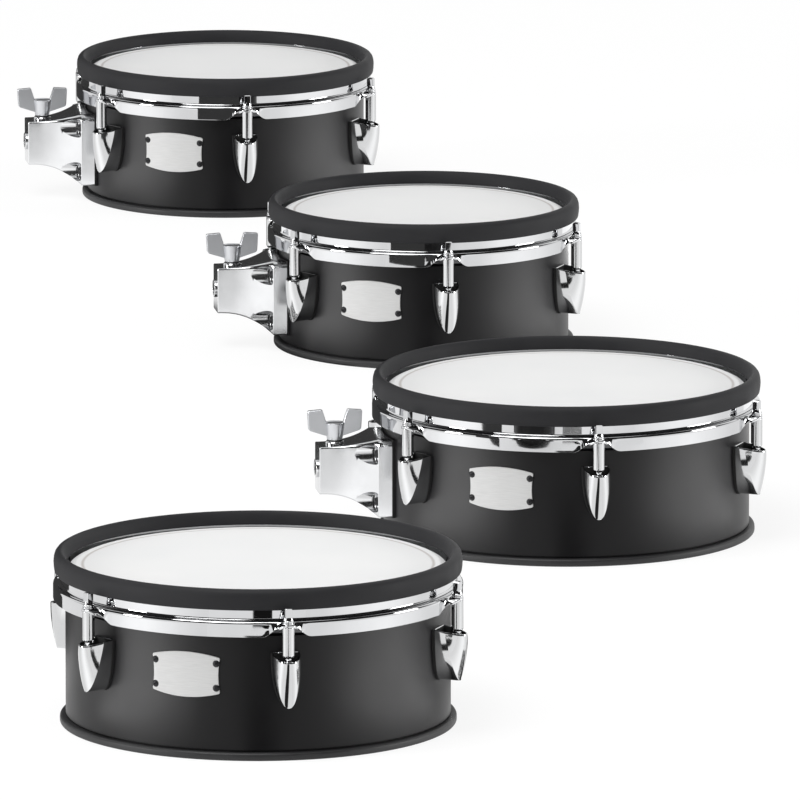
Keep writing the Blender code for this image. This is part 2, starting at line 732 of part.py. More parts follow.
def make_bracket_gasket(pad, parent):
    """A curved sheet between the shell and the bracket's flange."""
    name = f"{pad.name}_bracket_gasket"
    flange_low, flange_top, end_low, end_top = bracket_levels(pad)
    inner = pad.radius + CLEARANCE
    outer = inner + GASKET_THICKNESS
    profile = ((outer, flange_top), (outer, flange_low), (inner, flange_low), (inner, flange_top))
    gasket = turned(name, profile, look="gasket_black", parent=parent)
    low = (-(pad.radius + FLANGE_HALF_WIDTH), -FLANGE_HALF_WIDTH, 0.0)
    high = (0.0, FLANGE_HALF_WIDTH, pad.height)
    add_boolean(gasket, block(f"{name}_window", low, high, None, parent), "INTERSECT")
    return gasket


def shoe_top(pad):
    return bore_height(pad) + ROD_BORE_RADIUS - SHOE_INTO_BORE + SHOE_HEIGHT


def make_clamp_shoe(pad, parent):
    """The block that the wing bolt presses onto the rod in the bore."""
    name = f"{pad.name}_clamp_shoe"
    half_length = SHOE_LENGTH / 2
    half_width = SHOE_WIDTH / 2
    low = (-half_length, -half_width, -SHOE_HEIGHT)
    shoe = block(name, low, (half_length, half_width, 0.0), "cast_chrome", parent)
    shoe.location = (-(pad.radius + BOLT_OUT), 0.0, shoe_top(pad))
    return shoe


def wing_outline():
    """The two wings as one outline across the hub, symmetric about the bolt's axis."""
    half_span = WING_SPAN / 2
    right = [
        (HUB_BASE_RADIUS - WING_ROOT_HEIGHT, WING_ROOT_HEIGHT),
        (half_span - WING_LEAN, WING_HEEL_HEIGHT),
        (half_span, WING_HEIGHT - WING_LEAN),
        (half_span - WING_TIP_WIDTH, WING_HEIGHT),
        (HUB_TOP_RADIUS - WING_LEAN, HUB_HEIGHT - WING_LEAN),
    ]
    return right + [(-x, z) for x, z in reversed(right)]


def make_wing_bolt(pad, parent):
    """Hub, wings and threaded shaft, with the origin on the bolt's axis at the hub's underside."""
    name = f"{pad.name}_wing_bolt"
    flange_low, flange_top, end_low, end_top = bracket_levels(pad)
    hub_base = end_top + COLLAR_HEIGHT + HUB_LIFT
    shaft_tip = shoe_top(pad) + CLEARANCE - hub_base
    profile = (
        (0.0, HUB_HEIGHT),
        (HUB_TOP_RADIUS, HUB_HEIGHT),
        (HUB_BASE_RADIUS, 0.0),
        (BOLT_RADIUS, 0.0),
        (BOLT_RADIUS, shaft_tip),
        (0.0, shaft_tip),
    )
    place = (-(pad.radius + BOLT_OUT), 0.0, hub_base)
    bolt = turned(name, profile, BOLT_SIDES, "cast_chrome", parent, place, closed=False)
    wings = plate(f"{name}_wings", wing_outline(), WING_THICKNESS, "cast_chrome")
    wings.parent = parent
    wings.location = place
    add_boolean(bolt, wings, "UNION")
    return bolt


def make_empty(name, place, parent=None):
    empty = bpy.data.objects.new(name, None)
    PARTS.objects.link(empty)
    empty.location = place
    empty.parent = parent
    return empty


def make_pad(pad, kit):
    """Build one pad about an empty on its axis."""
    centre = make_empty(pad.name, (*pad.place, 0.0), kit)
    make_shell(pad, centre)
    make_bottom_ring(pad, centre)
    make_mesh_head(pad, centre)
    make_hoop(pad, centre)
    make_rim_cover(pad, centre)
    make_rods(pad, centre)
    make_sensor_unit(pad, centre)
    if pad.has_bracket:
        make_bracket_gasket(pad, centre)
        make_bracket(pad, centre)
        make_clamp_shoe(pad, centre)
        make_wing_bolt(pad, centre)


def centre_kit(kit):
    """Move the kit so that the middle of its footprint is at the world's origin."""
    bpy.context.view_layer.update()
    depsgraph = bpy.context.evaluated_depsgraph_get()
    xs = []
    ys = []
    for obj in PARTS.objects:
        if obj.type != "MESH":
            continue
        evaluated = obj.evaluated_get(depsgraph)
        for vert in evaluated.data.vertices:
            point = obj.matrix_world @ vert.co
            xs.append(point.x)
            ys.append(point.y)
    kit.location = (-(min(xs) + max(xs)) / 2, -(min(ys) + max(ys)) / 2, 0.0)


def main():
    kit = make_empty(COLLECTION_NAME, (0, 0, 0))
    for pad in PADS:
        make_pad(pad, kit)
    centre_kit(kit)


main()
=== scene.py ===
"""Looks of the four mesh-head drum pads: smooth rings, cast lugs, waved hoops, woven heads, and a soft studio."""

import math
from collections import namedtuple

import bmesh
import bpy
from mathutils import Matrix, Vector


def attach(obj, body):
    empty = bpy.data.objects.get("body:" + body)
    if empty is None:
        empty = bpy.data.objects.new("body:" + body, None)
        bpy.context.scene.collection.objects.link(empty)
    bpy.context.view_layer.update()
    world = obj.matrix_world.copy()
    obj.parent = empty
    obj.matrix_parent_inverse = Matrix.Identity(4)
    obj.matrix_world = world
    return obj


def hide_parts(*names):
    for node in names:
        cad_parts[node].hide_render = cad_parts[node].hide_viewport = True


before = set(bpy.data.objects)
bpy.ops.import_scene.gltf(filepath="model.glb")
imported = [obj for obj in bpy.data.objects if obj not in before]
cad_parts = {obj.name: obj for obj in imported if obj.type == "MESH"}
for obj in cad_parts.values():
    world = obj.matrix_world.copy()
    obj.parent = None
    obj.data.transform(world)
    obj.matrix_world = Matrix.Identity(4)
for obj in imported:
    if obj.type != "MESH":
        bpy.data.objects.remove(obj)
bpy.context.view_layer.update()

# Lengths are in metres
ROOT = "kit"
RING_SIDES = 144
LUG_COUNT = 6
LUG_PITCH = 2 * math.pi / LUG_COUNT
LUG_ANGLES = [k * LUG_PITCH for k in range(LUG_COUNT)]
SMALL_RADIUS = 0.1310
LARGE_RADIUS = 0.1565

# Radius is the shell's; the drops lead from the top to the lugs' mouths and to the badge's middle;
# strip_reach is how far up a wall, in heights, the high strip in front of the pad is mirrored
Pad = namedtuple("Pad", "name radius height lug_drop badge_drop place has_bracket strip_reach")
PADS = (
    Pad("tom_1", SMALL_RADIUS, 0.1330, 0.0540, 0.0725, (0.119, 1.19975, 0.0), True, 1.08),
    Pad("tom_2", SMALL_RADIUS, 0.1330, 0.0540, 0.0725, (0.192, 0.42475, 0.0), True, 1.08),
    Pad("floor_tom", LARGE_RADIUS, 0.1385, 0.0522, 0.0735, (0.185, -0.44125, 0.0), True, 1.08),
    Pad("snare", LARGE_RADIUS, 0.1412, 0.0522, 0.0725, (-0.185, -1.17425, 0.0), False, 1.7),
)

# Shell and head
SHELL_WALL = 0.0085
SHELL_FOOT = 0.0068
FOOT_GROOVE = 0.0009
FOOT_GROOVE_TOP = 0.0078
LINING_FOOT = 0.0075
LINING_THICKNESS = 0.00015
NECK_STEP = 0.0040
SHOULDER_DROP = 0.0101
BEARING_DROP = 0.0011
BEARING_FALL = 0.0018
HEAD_DROP = 0.0114
MESH_PLIES = 0.0006
MESH_DIP = 0.00012
MESH_SKIRT_IN = 0.0030
MESH_SKIRT_FOOT = 0.0118
MESH_RADII = (0.0, 0.012, 0.03, 0.05, 0.07, 0.09, 0.105)
BOTTOM_RING_OUT = 0.0048
BOTTOM_RING_HEIGHT = 0.0065
# How the mesh rolls over the bearing edge: out from the shell's inside, and down from the top
MESH_ROLL = (
    (-0.0085, MESH_DIP), (-0.0050, MESH_DIP), (-0.0030, 0.00030), (-0.0018, 0.00005), (-0.0004, 0.0),
    (0.0006, 0.00015), (0.0014, 0.00055), (0.0030, 0.00115),
)

# Hoop, flesh hoop, rods and sleeves
LEDGE_DROP = 0.0257
SHEET = 0.0023
SKIRT = 0.0130
SKIRT_BEND = 0.45
WALL_TOP_DROP = 0.0113
WALL_OUT = 0.0045
SKIRT_OUT = 0.0100
EAR_STEP = 0.0010
EAR_HALF = 0.0080
EAR_OUT = 0.0142
EAR_TIP = 0.0076
EAR_BLEND = 0.0085
EAR_BEND_OUT = 0.0116
WAVE_END = 0.0215
WAVE_LENGTH = 0.0190
WAVE_POWER = 1.2
HOOP_ARC_OUT = 0.0150
HOOP_FILLETS = (0.0004, 0.0018, 0.0021, -0.0024, 0.0006, 0.0006, -0.0024, 0.0008, 0.0020, 0.0004)
FLESH_GAP = 0.0008
FLESH_IN = 0.0036
FLESH_OUT = 0.0034
FLESH_HEIGHT = 0.0079
ROD_OUT = 0.0170
ROD_RADIUS = 0.00315
ROD_HEAD_HALF = 0.0030
ROD_THREADS = 13
ROD_THREAD_LENGTH = 0.014
ROD_THREAD_START = 0.0012
ROD_THREAD_HALF = 0.0004
ROD_THREAD_RADII = (0.00300, 0.00335)
ROD_TIP_GAP = 0.0028
SLEEVE_RADIUS = 0.0050
SLEEVE_HOLE = 0.0037
SLEEVE_FOOT = 0.0040
SLEEVE_GAP = 0.0024
# Where the hoop's sections lie: in millimetres from an ear's middle, then in equal steps halfway to the next ear
EAR_STATIONS = (
    0.0, 1.6, 3.1, 4.5, 5.7, 6.6, 7.3, 7.75, 8.0, 8.4, 9.0, 9.8, 10.8, 12.0, 13.3, 14.6, 16.0, 17.5, 19.0, 20.5, 22.0,
)
SKIRT_STATIONS = 8
# The rubber strip's section: out from the shell, and up from the pad's top
RIM_PROFILE = (
    (0.0048, -0.0110), (-0.0005, -0.0110), (-0.0003, -0.0085), (0.0006, -0.0045), (0.0017, -0.0017),
    (0.0029, -0.0004), (0.0040, 0.0), (0.0055, -0.0003), (0.0072, -0.0013), (0.0085, -0.0030),
    (0.0092, -0.0055), (0.0095, -0.0088), (0.0093, -0.0125), (0.0088, -0.0160), (0.0082, -0.0168),
    (0.0048, -0.0168),
)

# Lugs
LUG_HEIGHT = 0.0430
LUG_HALF = 0.0112
LUG_SLANT = 0.0043
LUG_NOSE = 0.0255
LUG_NOSE_FALL = 0.0060
LUG_NOSE_POWER = 2.2
LUG_POWER = 2.4
LUG_SIDE = 0.0100
LUG_SIDE_GAIN = 0.0095
LUG_FOOT = 0.0010
LUG_BEVEL = 0.0004
LUG_CUP = 0.0120
LUG_SOCKET = 0.0090
LUG_LEVELS = (1.0, 0.997, 0.985, 0.96, 0.92, 0.86, 0.78, 0.68, 0.57, 0.45, 0.33, 0.21, 0.1, 0.03)
CHEEK_STEPS = 12
CHEEK_WIDTH = 0.82
CHEEK_REACH = 0.64
NOSE_WIDTH = 0.52
SLANT_FADE = 1.6
GASKET_RIM = 0.0007
GASKET_TOP = 0.0006
GASKET_LAYERS = (-0.0010, 0.0014, 0.0018)
# Level, inset and drop of the rings that roll over a lug's mouth and down into it
LUG_MOUTH = (
    (0.0, 0.0, 0.0007), (0.0, 0.00025, 0.00015), (0.0, 0.0006, 0.0), (0.0, 0.0011, 0.0), (0.0, 0.0015, 0.0003),
    (0.0, 0.0017, 0.0010), (0.24, 0.0018, 0.0108), (0.27, 0.0030, 0.0118),
)

# Sensor unit
BRIDGE_DROP = 0.0311
BRIDGE_IN = 0.0088
BRIDGE_SHEET = 0.0025
BRIDGE_TAB = 0.0160
CONE_HEIGHT = 0.0300
CONE_TOP = 0.0110
CONE_BASE = 0.0170
JACK_BOX_HALF = (0.0190, 0.0116)
JACK_BOX_HEIGHT = 0.0180
JACK_NUT = 0.0070
JACK_HOLE_SHARE = 0.47

# Badge
BADGE_HALF_WIDTH = 0.0292
BADGE_HALF_HEIGHT = 0.0146
BADGE_CROWN = 0.0040
BADGE_WAIST = 0.0014
BADGE_ANGLE = -math.pi / 6
BADGE_CORNER = 0.0030
# Share of the outline and distance out from the shell, from the plate's back round its edge to its middle
BADGE_LAYERS = (
    (1.0, -0.0004), (1.0, 0.0009), (0.985, 0.0012), (0.8, 0.00125), (0.55, 0.00125), (0.3, 0.00125), (0.0, 0.00125),
)
BADGE_SCREW = (
    (0.0, 0.0014), (0.0008, 0.0014), (0.0008, 0.0023), (0.0015, 0.0022), (0.0024, 0.0018), (0.0029, 0.0012),
    (0.0029, 0.0002), (0.0, 0.0002),
)
BADGE_SCREW_IN = 0.0030
BADGE_SCREW_UP = 0.0100

# Tom bracket and wing bolt; the distances out are measured from the shell
FLANGE_DROP = 0.0495
FLANGE_HEIGHT = 0.0675
FLANGE_HALF = 0.0320
FLANGE_OUT = 0.0105
FLANGE_BACK = 0.0060
FLARE_POWER = 2.4
FLARE_STATIONS = 22
END_OUT = 0.0590
END_DROP = 0.0085
END_HEIGHT = 0.0410
END_HALF = 0.0140
END_BEVEL = 0.0006
END_FACE_WIDTH = 0.97
END_FACE_HEIGHT = 0.985
BORE_RADIUS = 0.0056
BORE_DEPTH = 0.0450
BORE_LIP = 0.0080
LINER_RADIUS = 0.00545
LINER_DEPTH = 0.0440
SHELL_ROOM = 0.0024
FLANGE_GASKET_OUT = 0.0022
POCKET_INSET = 0.0130
POCKET_SIDE = 0.0285
POCKET_RADIUS = 0.0088
POCKET_LIFT = 0.0006
POCKET_LENGTH = 0.040
SCREW_SIDE = 0.0262
SCREW_LIFT = 0.0002
BOLT_OUT = 0.0440
BOLT_SEAT = 0.0030
BOLT_COLLAR = 0.0080
BOLT_WASHER = 0.0012
BOLT_RADIUS = 0.0039
ROD_BORE = 0.0054
SHOE_NIP = 0.0004
SHOE_HEIGHT = 0.0060
SHOE_HALF = (0.0080, 0.0052)

# Studio and camera: DEPTH leads away from the camera along the floor
FLOOR_HALF = 80.0
FLOOR_TONE = 0.86
FLOOR_GLOW = 1.07
FLOOR_GLOW_SHARE = 0.80
SKY_LIGHT = 0.48
DARK_STEPS = 60
CARD_STEPS = 24
CARD_LIFT = 0.0005
FLAG_SIDES = (-0.22, 0.035)
FLAG_BEHIND = 0.25
FLAG_HEIGHT = 0.45
FLAG_GLOW = 0.05
SHELL_LAMP_LENGTH = 0.44
SHELL_LAMP_AWAY = 0.32
KIT_ORIGIN = Vector((0.13, 0.15475, 0.0))
AZIMUTH = math.radians(-8.5)
ELEVATION = math.radians(11.0)
CAMERA_AWAY = 15.4205
LENS = 779.96
DEPTH = Vector((-math.sin(AZIMUTH), math.cos(AZIMUTH), 0.0))
RIGHT = Vector((math.cos(AZIMUTH), math.sin(AZIMUTH), 0.0))


def head_top(pad):
    return pad.height - HEAD_DROP


def ledge(pad):
    return pad.height - LEDGE_DROP


def ear_top(pad):
    return ledge(pad) - EAR_STEP


def flesh_top(pad):
    return ledge(pad) - SHEET - FLESH_GAP


def lug_top(pad):
    return pad.height - pad.lug_drop


# ---------------------------------------------------------------- materials

WHITE = (1.0, 1.0, 1.0)
THREAD_SCALE = 330.0
THREAD_TURN = 0.09
WEAVE_SHADE = (0.93, 0.93, 0.93)
MESH_TONES = ((0.865, 0.87, 0.87), (0.905, 0.905, 0.90))
# The next three set a thin darker warm ring of painted shade on the mesh, just inside the bearing edge: its inset, its
# tone and its soft edges
MESH_SHADE_RING_IN = 0.0056
MESH_SHADE_RING_TONE = (0.70, 0.665, 0.645)
MESH_SHADE_RING_EDGES = (0.0004, 0.0018)


def material(name):
    """A new material with its nodes, its links and its shader."""
    made = bpy.data.materials.new(name)
    made.use_nodes = True
    nodes = made.node_tree.nodes
    return made, nodes, made.node_tree.links, nodes["Principled BSDF"]


def calculate(nodes, links, operation, *values, kind="ShaderNodeMath"):
    """The outputs of a maths node that is fed with numbers, vectors or the outputs of other nodes."""
    node = nodes.new(kind)
    node.operation = operation
    for socket, value in zip(node.inputs, values):
        if isinstance(value, bpy.types.NodeSocket):
            links.new(value, socket)
        else:
            socket.default_value = value
    return node.outputs


def noise(nodes, links, scale, detail=2.0, stretch=(1, 1, 1)):
    """A noise texture in object space; stretch scales its axes."""
    coords = nodes.new("ShaderNodeTexCoord")
    mapping = nodes.new("ShaderNodeMapping")
    mapping.inputs["Scale"].default_value = stretch
    texture = nodes.new("ShaderNodeTexNoise")
    texture.inputs["Scale"].default_value = scale
    texture.inputs["Detail"].default_value = detail
    links.new(coords.outputs["Object"], mapping.inputs["Vector"])
    links.new(mapping.outputs["Vector"], texture.inputs["Vector"])
    return texture.outputs["Fac"]


def ramp(nodes, links, value, low, high, start=0.3, end=0.7):
    """Value mapped from start..end onto low..high, which are numbers or colours."""
    if isinstance(low, tuple):
        node = nodes.new("ShaderNodeValToRGB")
        for element, position, tone in zip(node.color_ramp.elements, (start, end), (low, high)):
            element.position = position
            element.color = (*tone, 1.0)
        links.new(value, node.inputs["Fac"])
        return node.outputs["Color"]
    node = nodes.new("ShaderNodeMapRange")
    for socket, number in (("From Min", start), ("From Max", end), ("To Min", low), ("To Max", high)):
        node.inputs[socket].default_value = number
    links.new(value, node.inputs["Value"])
    return node.outputs["Result"]


def bump(nodes, links, bsdf, height, distance, strength=1.0):
    node = nodes.new("ShaderNodeBump")
    node.inputs["Distance"].default_value = distance
    node.inputs["Strength"].default_value = strength
    links.new(height, node.inputs["Height"])
    links.new(node.outputs["Normal"], bsdf.inputs["Normal"])


def plain(name, low, high, rough, grain=600.0, depth=0.00002, specular=0.5, patch=22.0, stretch=(1, 1, 1)):
    """Colour that drifts between two tones, roughness that drifts with it, and a fine grain in the surface."""
    made, nodes, links, bsdf = material(name)
    bsdf.inputs["Specular IOR Level"].default_value = specular
    drift = noise(nodes, links, patch, 3.0, stretch)
    links.new(ramp(nodes, links, drift, low, high), bsdf.inputs["Base Color"])
    links.new(ramp(nodes, links, drift, rough[0], rough[1]), bsdf.inputs["Roughness"])
    bump(nodes, links, bsdf, noise(nodes, links, grain, 2.0, stretch), depth)
    return made


def woven(name, radius):
    """Two plies of white mesh: threads along two ways, a faint drift, and a thin darker ring of painted shade just
    inside the bearing edge.
    """
    made, nodes, links, bsdf = material(name)
    bsdf.inputs["Roughness"].default_value = 0.72
    bsdf.inputs["Specular IOR Level"].default_value = 0.25
    bsdf.inputs["Sheen Weight"].default_value = 0.15
    coords = nodes.new("ShaderNodeTexCoord").outputs["Object"]
    threads = []
    for turn in (0.0, math.pi / 2):
        mapping = nodes.new("ShaderNodeMapping")
        mapping.inputs["Rotation"].default_value = (0.0, 0.0, turn + THREAD_TURN)
        links.new(coords, mapping.inputs["Vector"])
        wave = nodes.new("ShaderNodeTexWave")
        wave.inputs["Scale"].default_value = THREAD_SCALE
        links.new(mapping.outputs["Vector"], wave.inputs["Vector"])
        threads.append(wave.outputs["Fac"])
    weave = calculate(nodes, links, "MAXIMUM", *threads)[0]
    shade = ramp(nodes, links, weave, WEAVE_SHADE, WHITE, 0.0, 0.8)
    drift = ramp(nodes, links, noise(nodes, links, 9.0), *MESH_TONES)
    tone = calculate(nodes, links, "MULTIPLY", shade, drift, kind="ShaderNodeVectorMath")[0]
    flat = calculate(nodes, links, "MULTIPLY", coords, (1.0, 1.0, 0.0), kind="ShaderNodeVectorMath")[0]
    length = calculate(nodes, links, "LENGTH", flat, kind="ShaderNodeVectorMath")["Value"]
    # Painted shade: the mesh's colour is darkened in a thin ring at a fixed radius just inside the bearing edge
    aside = calculate(nodes, links, "SUBTRACT", length, radius - SHELL_WALL - MESH_SHADE_RING_IN)[0]
    away = calculate(nodes, links, "ABSOLUTE", aside)[0]
    off_shade_ring = ramp(nodes, links, away, 0.0, 1.0, *MESH_SHADE_RING_EDGES)
    shade_ring_tone = ramp(nodes, links, off_shade_ring, MESH_SHADE_RING_TONE, WHITE, 0.0, 1.0)
    shade_ringed_tone = calculate(nodes, links, "MULTIPLY", tone, shade_ring_tone, kind="ShaderNodeVectorMath")[0]
    links.new(shade_ringed_tone, bsdf.inputs["Base Color"])
    bump(nodes, links, bsdf, weave, 0.00008, 0.6)
    return made


def chrome(name, tone, rough):
    """Mirror metal with faint smudges and the slight waviness of a polished piece."""
    made, nodes, links, bsdf = material(name)
    bsdf.inputs["Metallic"].default_value = 1.0
    smudge = noise(nodes, links, 38.0, 4.0)
    darker = tuple(c * 0.94 for c in tone)
    links.new(ramp(nodes, links, smudge, darker, tone), bsdf.inputs["Base Color"])
    links.new(ramp(nodes, links, smudge, rough[1], rough[0]), bsdf.inputs["Roughness"])
    bump(nodes, links, bsdf, noise(nodes, links, 30.0, 1.0), 0.00004, 0.10)
    return made


def brushed(name, tone, rough, metallic=1.0, across=(1, 1, 40)):
    """Metal with fine lines; across stretches the grain."""
    made, nodes, links, bsdf = material(name)
    bsdf.inputs["Metallic"].default_value = metallic
    lines = noise(nodes, links, 90.0, 3.0, across)
    darker = tuple(c * 0.88 for c in tone)
    links.new(ramp(nodes, links, lines, darker, tone), bsdf.inputs["Base Color"])
    links.new(ramp(nodes, links, lines, rough[0], rough[1]), bsdf.inputs["Roughness"])
    bump(nodes, links, bsdf, lines, 0.00002, 0.5)
    return made


MAT = {
    "shell": plain("satin_black_lacquer", (0.0045, 0.0043, 0.0048), (0.0062, 0.0059, 0.0066), (0.34, 0.42),
                   grain=900.0, depth=0.000012, specular=0.25),
    "inside": plain("black_stained_inside", (0.012, 0.011, 0.011), (0.026, 0.023, 0.021), (0.6, 0.75),
                    grain=260.0, depth=0.00004, patch=30.0, stretch=(1, 1, 0.15)),
    "ring": plain("black_moulded_ring", (0.017, 0.017, 0.018), (0.024, 0.024, 0.025), (0.45, 0.55), grain=800.0),
    "rubber": plain("rim_rubber", (0.0175, 0.0175, 0.0195), (0.0225, 0.0225, 0.0245), (0.55, 0.68),
                    grain=1300.0, depth=0.00005, specular=0.25, patch=30.0),
    "gasket": plain("black_gasket", (0.009, 0.009, 0.009), (0.014, 0.014, 0.014), (0.65, 0.8), grain=900.0),
    "chrome": chrome("pressed_chrome", (0.66, 0.665, 0.675), (0.02, 0.045)),
    "lug": chrome("cast_chrome", (0.68, 0.685, 0.69), (0.04, 0.09)),
    "bracket": chrome("satin_chrome", (0.68, 0.685, 0.695), (0.12, 0.20)),
    "sleeve": brushed("sleeve_nickel", (0.66, 0.665, 0.67), (0.10, 0.16), across=(1, 1, 0.05)),
    "wing": chrome("wing_satin", (0.62, 0.63, 0.65), (0.30, 0.38)),
    "small_mesh": woven("mesh_plies", SMALL_RADIUS),
    "large_mesh": woven("mesh_plies_large", LARGE_RADIUS),
    "flesh": brushed("flesh_hoop_metal", (0.16, 0.16, 0.165), (0.35, 0.5)),
    "badge": brushed("badge_silver", (0.66, 0.66, 0.655), (0.34, 0.46), metallic=0.12, across=(1, 1, 30)),
    "screw": brushed("black_screw", (0.030, 0.030, 0.032), (0.3, 0.45), metallic=0.6),
    "plastic": plain("grey_plastic", (0.045, 0.045, 0.047), (0.060, 0.060, 0.062), (0.45, 0.6), grain=900.0),
    "foam": plain("cone_foam", (0.030, 0.030, 0.031), (0.055, 0.055, 0.056), (0.85, 0.95),
                  grain=420.0, depth=0.0006, specular=0.2, patch=180.0),
    "steel": brushed("plain_steel", (0.55, 0.55, 0.55), (0.28, 0.4)),
    "washer": plain("black_washer", (0.014, 0.014, 0.014), (0.02, 0.02, 0.02), (0.5, 0.6)),
}


# ---------------------------------------------------------------- shapes

STRAIGHT_CORNER = math.pi - 0.02
STRAIGHT_REACH = 0.0005
SIDE_SHARE = 0.48


def fillet(points, radii, steps):
    """Round the corners of a closed outline; radii is one radius for all points or one each. Below 0 it is a reach."""
    if isinstance(radii, float):
        radii = [radii] * len(points)
    out = []
    for i, (point, radius) in enumerate(zip(points, radii)):
        here = Vector(point)
        if radius == 0:
            out.append(tuple(here))
            continue
        before = Vector(points[i - 1]) - here
        after = Vector(points[(i + 1) % len(points)]) - here
        angle = before.angle(after)
        straight = angle > STRAIGHT_CORNER
        reach = -radius if radius < 0 else STRAIGHT_REACH if straight else radius / math.tan(angle / 2)
        reach = min(reach, before.length * SIDE_SHARE, after.length * SIDE_SHARE)
        start = here + before.normalized() * reach
        end = here + after.normalized() * reach
        if straight:
            out += [tuple(start.lerp(end, k / steps)) for k in range(steps + 1)]
            continue
        bow = reach * math.tan(angle / 2)
        centre = here + (before.normalized() + after.normalized()).normalized() * math.hypot(reach, bow)
        first = start - centre
        last = end - centre
        sweep = first.angle(last)
        for k in range(steps + 1):
            a = math.sin((1 - k / steps) * sweep) / math.sin(sweep)
            b = math.sin(k / steps * sweep) / math.sin(sweep)
            out.append(tuple(centre + first * a + last * b))
    return out


def place_object(name, data, at=(0, 0, 0)):
    obj = bpy.data.objects.new(name, data)
    bpy.context.scene.collection.objects.link(obj)
    obj.location = at
    return obj


def finish_mesh(name, bm, mat, at, sharp=32.0):
    """Turn a bmesh into an object: welded, smooth, and sharp where its faces meet at more than an angle."""
    bmesh.ops.remove_doubles(bm, verts=bm.verts, dist=1e-7)
    bmesh.ops.recalc_face_normals(bm, faces=bm.faces)
    for face in bm.faces:
        face.smooth = True
    for edge in bm.edges:
        if edge.is_manifold and edge.calc_face_angle(0.0) > math.radians(sharp):
            edge.smooth = False
    mesh = bpy.data.meshes.new(name)
    bm.to_mesh(mesh)
    bm.free()
    mesh.materials.append(MAT[mat])
    return place_object(name, mesh, at)


def revolve(bm, profile, segments=RING_SIDES, matrix=None, closed=True):
    """Turn (radius, height) points about Z into a bmesh."""
    matrix = matrix or Matrix.Identity(4)
    rings = []
    for k in range(segments):
        turn = 2 * math.pi * k / segments
        rings.append([
            bm.verts.new(matrix @ Vector((r * math.cos(turn), r * math.sin(turn), z))) for r, z in profile
        ])
    count = len(profile)
    for here, there in zip(rings, rings[1:] + rings[:1]):
        for i in range(count if closed else count - 1):
            j = (i + 1) % count
            bm.faces.new((here[i], there[i], there[j], here[j]))


def lathe(name, profile, mat, at, segments=RING_SIDES, closed=True, sharp=32.0):
    bm = bmesh.new()
    revolve(bm, profile, segments, None, closed)
    return finish_mesh(name, bm, mat, at, sharp)


def loft(bm, sections, loop=False, matrix=None):
    """Join sections of equal count; the ends are capped, or meet where it is a loop."""
    matrix = matrix or Matrix.Identity(4)
    rings = [[bm.verts.new(matrix @ Vector(p)) for p in section] for section in sections]
    count = len(rings[0])
    for here, there in zip(rings, rings[1:] + (rings[:1] if loop else [])):
        for i in range(count):
            j = (i + 1) % count
            bm.faces.new((here[i], here[j], there[j], there[i]))
    if not loop:
        bm.faces.new(list(reversed(rings[0])))
        bm.faces.new(rings[-1])


def shrink(outline, inset):
    """An outline's points moved towards its middle."""
    middle = sum((Vector(p) for p in outline), Vector((0, 0))) / len(outline)
    moved = []
    for point in outline:
        away = Vector(point) - middle
        away -= away.normalized() * inset
        moved.append(tuple(middle + away))
    return moved


def prism(bm, outline, low, high, edge):
    """An outline of (x, y) points between two heights, with a small bevel at both."""
    inner = shrink(outline, edge)
    levels = ((inner, low), (outline, low + edge), (outline, high - edge), (inner, high))
    loft(bm, [[(x, y, z) for x, y in points] for points, z in levels])


def around(angle):
    """Turn about Z that brings the front (-Y) to an angle towards +X."""
    return Matrix.Rotation(angle, 4, "Z")


def smoothstep(t):
    t = min(max(t, 0.0), 1.0)
    return t * t * (3 - 2 * t)


def box(x1, y1, x2, y2):
    """The corners of a rectangle in turn, from the first one given."""
    return [(x1, y1), (x2, y1), (x2, y2), (x1, y2)]


def at_turn(turn, out, z):
    """A point at a distance out from a pad's axis, turned from the front (-Y) towards +X."""
    return (math.sin(turn) * out, -math.cos(turn) * out, z)


# ---------------------------------------------------------------- pieces of a pad

SHELLS = bpy.data.collections.new("lacquered_shells")


def dress(obj, body, slot_name, *nodes):
    """Give a piece its body and hide the nodes that it stands for; the slot name only tells the mesh apart, and the
    flats of all but the mesh stay flat.
    """
    if slot_name != "mesh_white":
        flats = obj.modifiers.new("flats_stay_flat", "WEIGHTED_NORMAL")
        flats.keep_sharp = True
        flats.weight = 80
    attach(obj, body)
    if nodes:
        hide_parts(*nodes)


def make_shell(pad):
    outside = pad.radius
    inside = outside - SHELL_WALL
    neck = outside - NECK_STEP
    groove = outside - FOOT_GROOVE
    bearing = head_top(pad) - BEARING_DROP
    shoulder = flesh_top(pad) - SHOULDER_DROP
    outer = fillet([
        (inside, SHELL_FOOT), (groove, SHELL_FOOT), (groove, FOOT_GROOVE_TOP), (outside, FOOT_GROOVE_TOP),
        (outside, shoulder), (neck, shoulder), (neck, bearing - BEARING_FALL), (inside, bearing),
    ], [0.0004, 0.0002, 0.0002, 0.0004, 0.0006, 0.0004, 0.0006, 0.0006], 3)
    shell = lathe(f"{pad.name}_shell_skin", outer, "shell", pad.place)
    face = [(inside - 0.0001, LINING_FOOT), (inside - 0.0001, bearing - 0.001)]
    lining = lathe(f"{pad.name}_shell_inside", face, "inside", pad.place, closed=False)
    solid = lining.modifiers.new("thickness", "SOLIDIFY")
    solid.thickness = LINING_THICKNESS
    solid.offset = 0.0
    dress(shell, ROOT, "shell_black", f"{pad.name}_shell")
    dress(lining, ROOT, "shell_black", f"{pad.name}_shell")
    SHELLS.objects.link(shell)


def lug_half(level, width=LUG_HALF):
    """Half the width of a lug, from level 0 at the mouth to 1 at the tip."""
    return width * max(1 - level**LUG_POWER, 0.0) ** 0.5


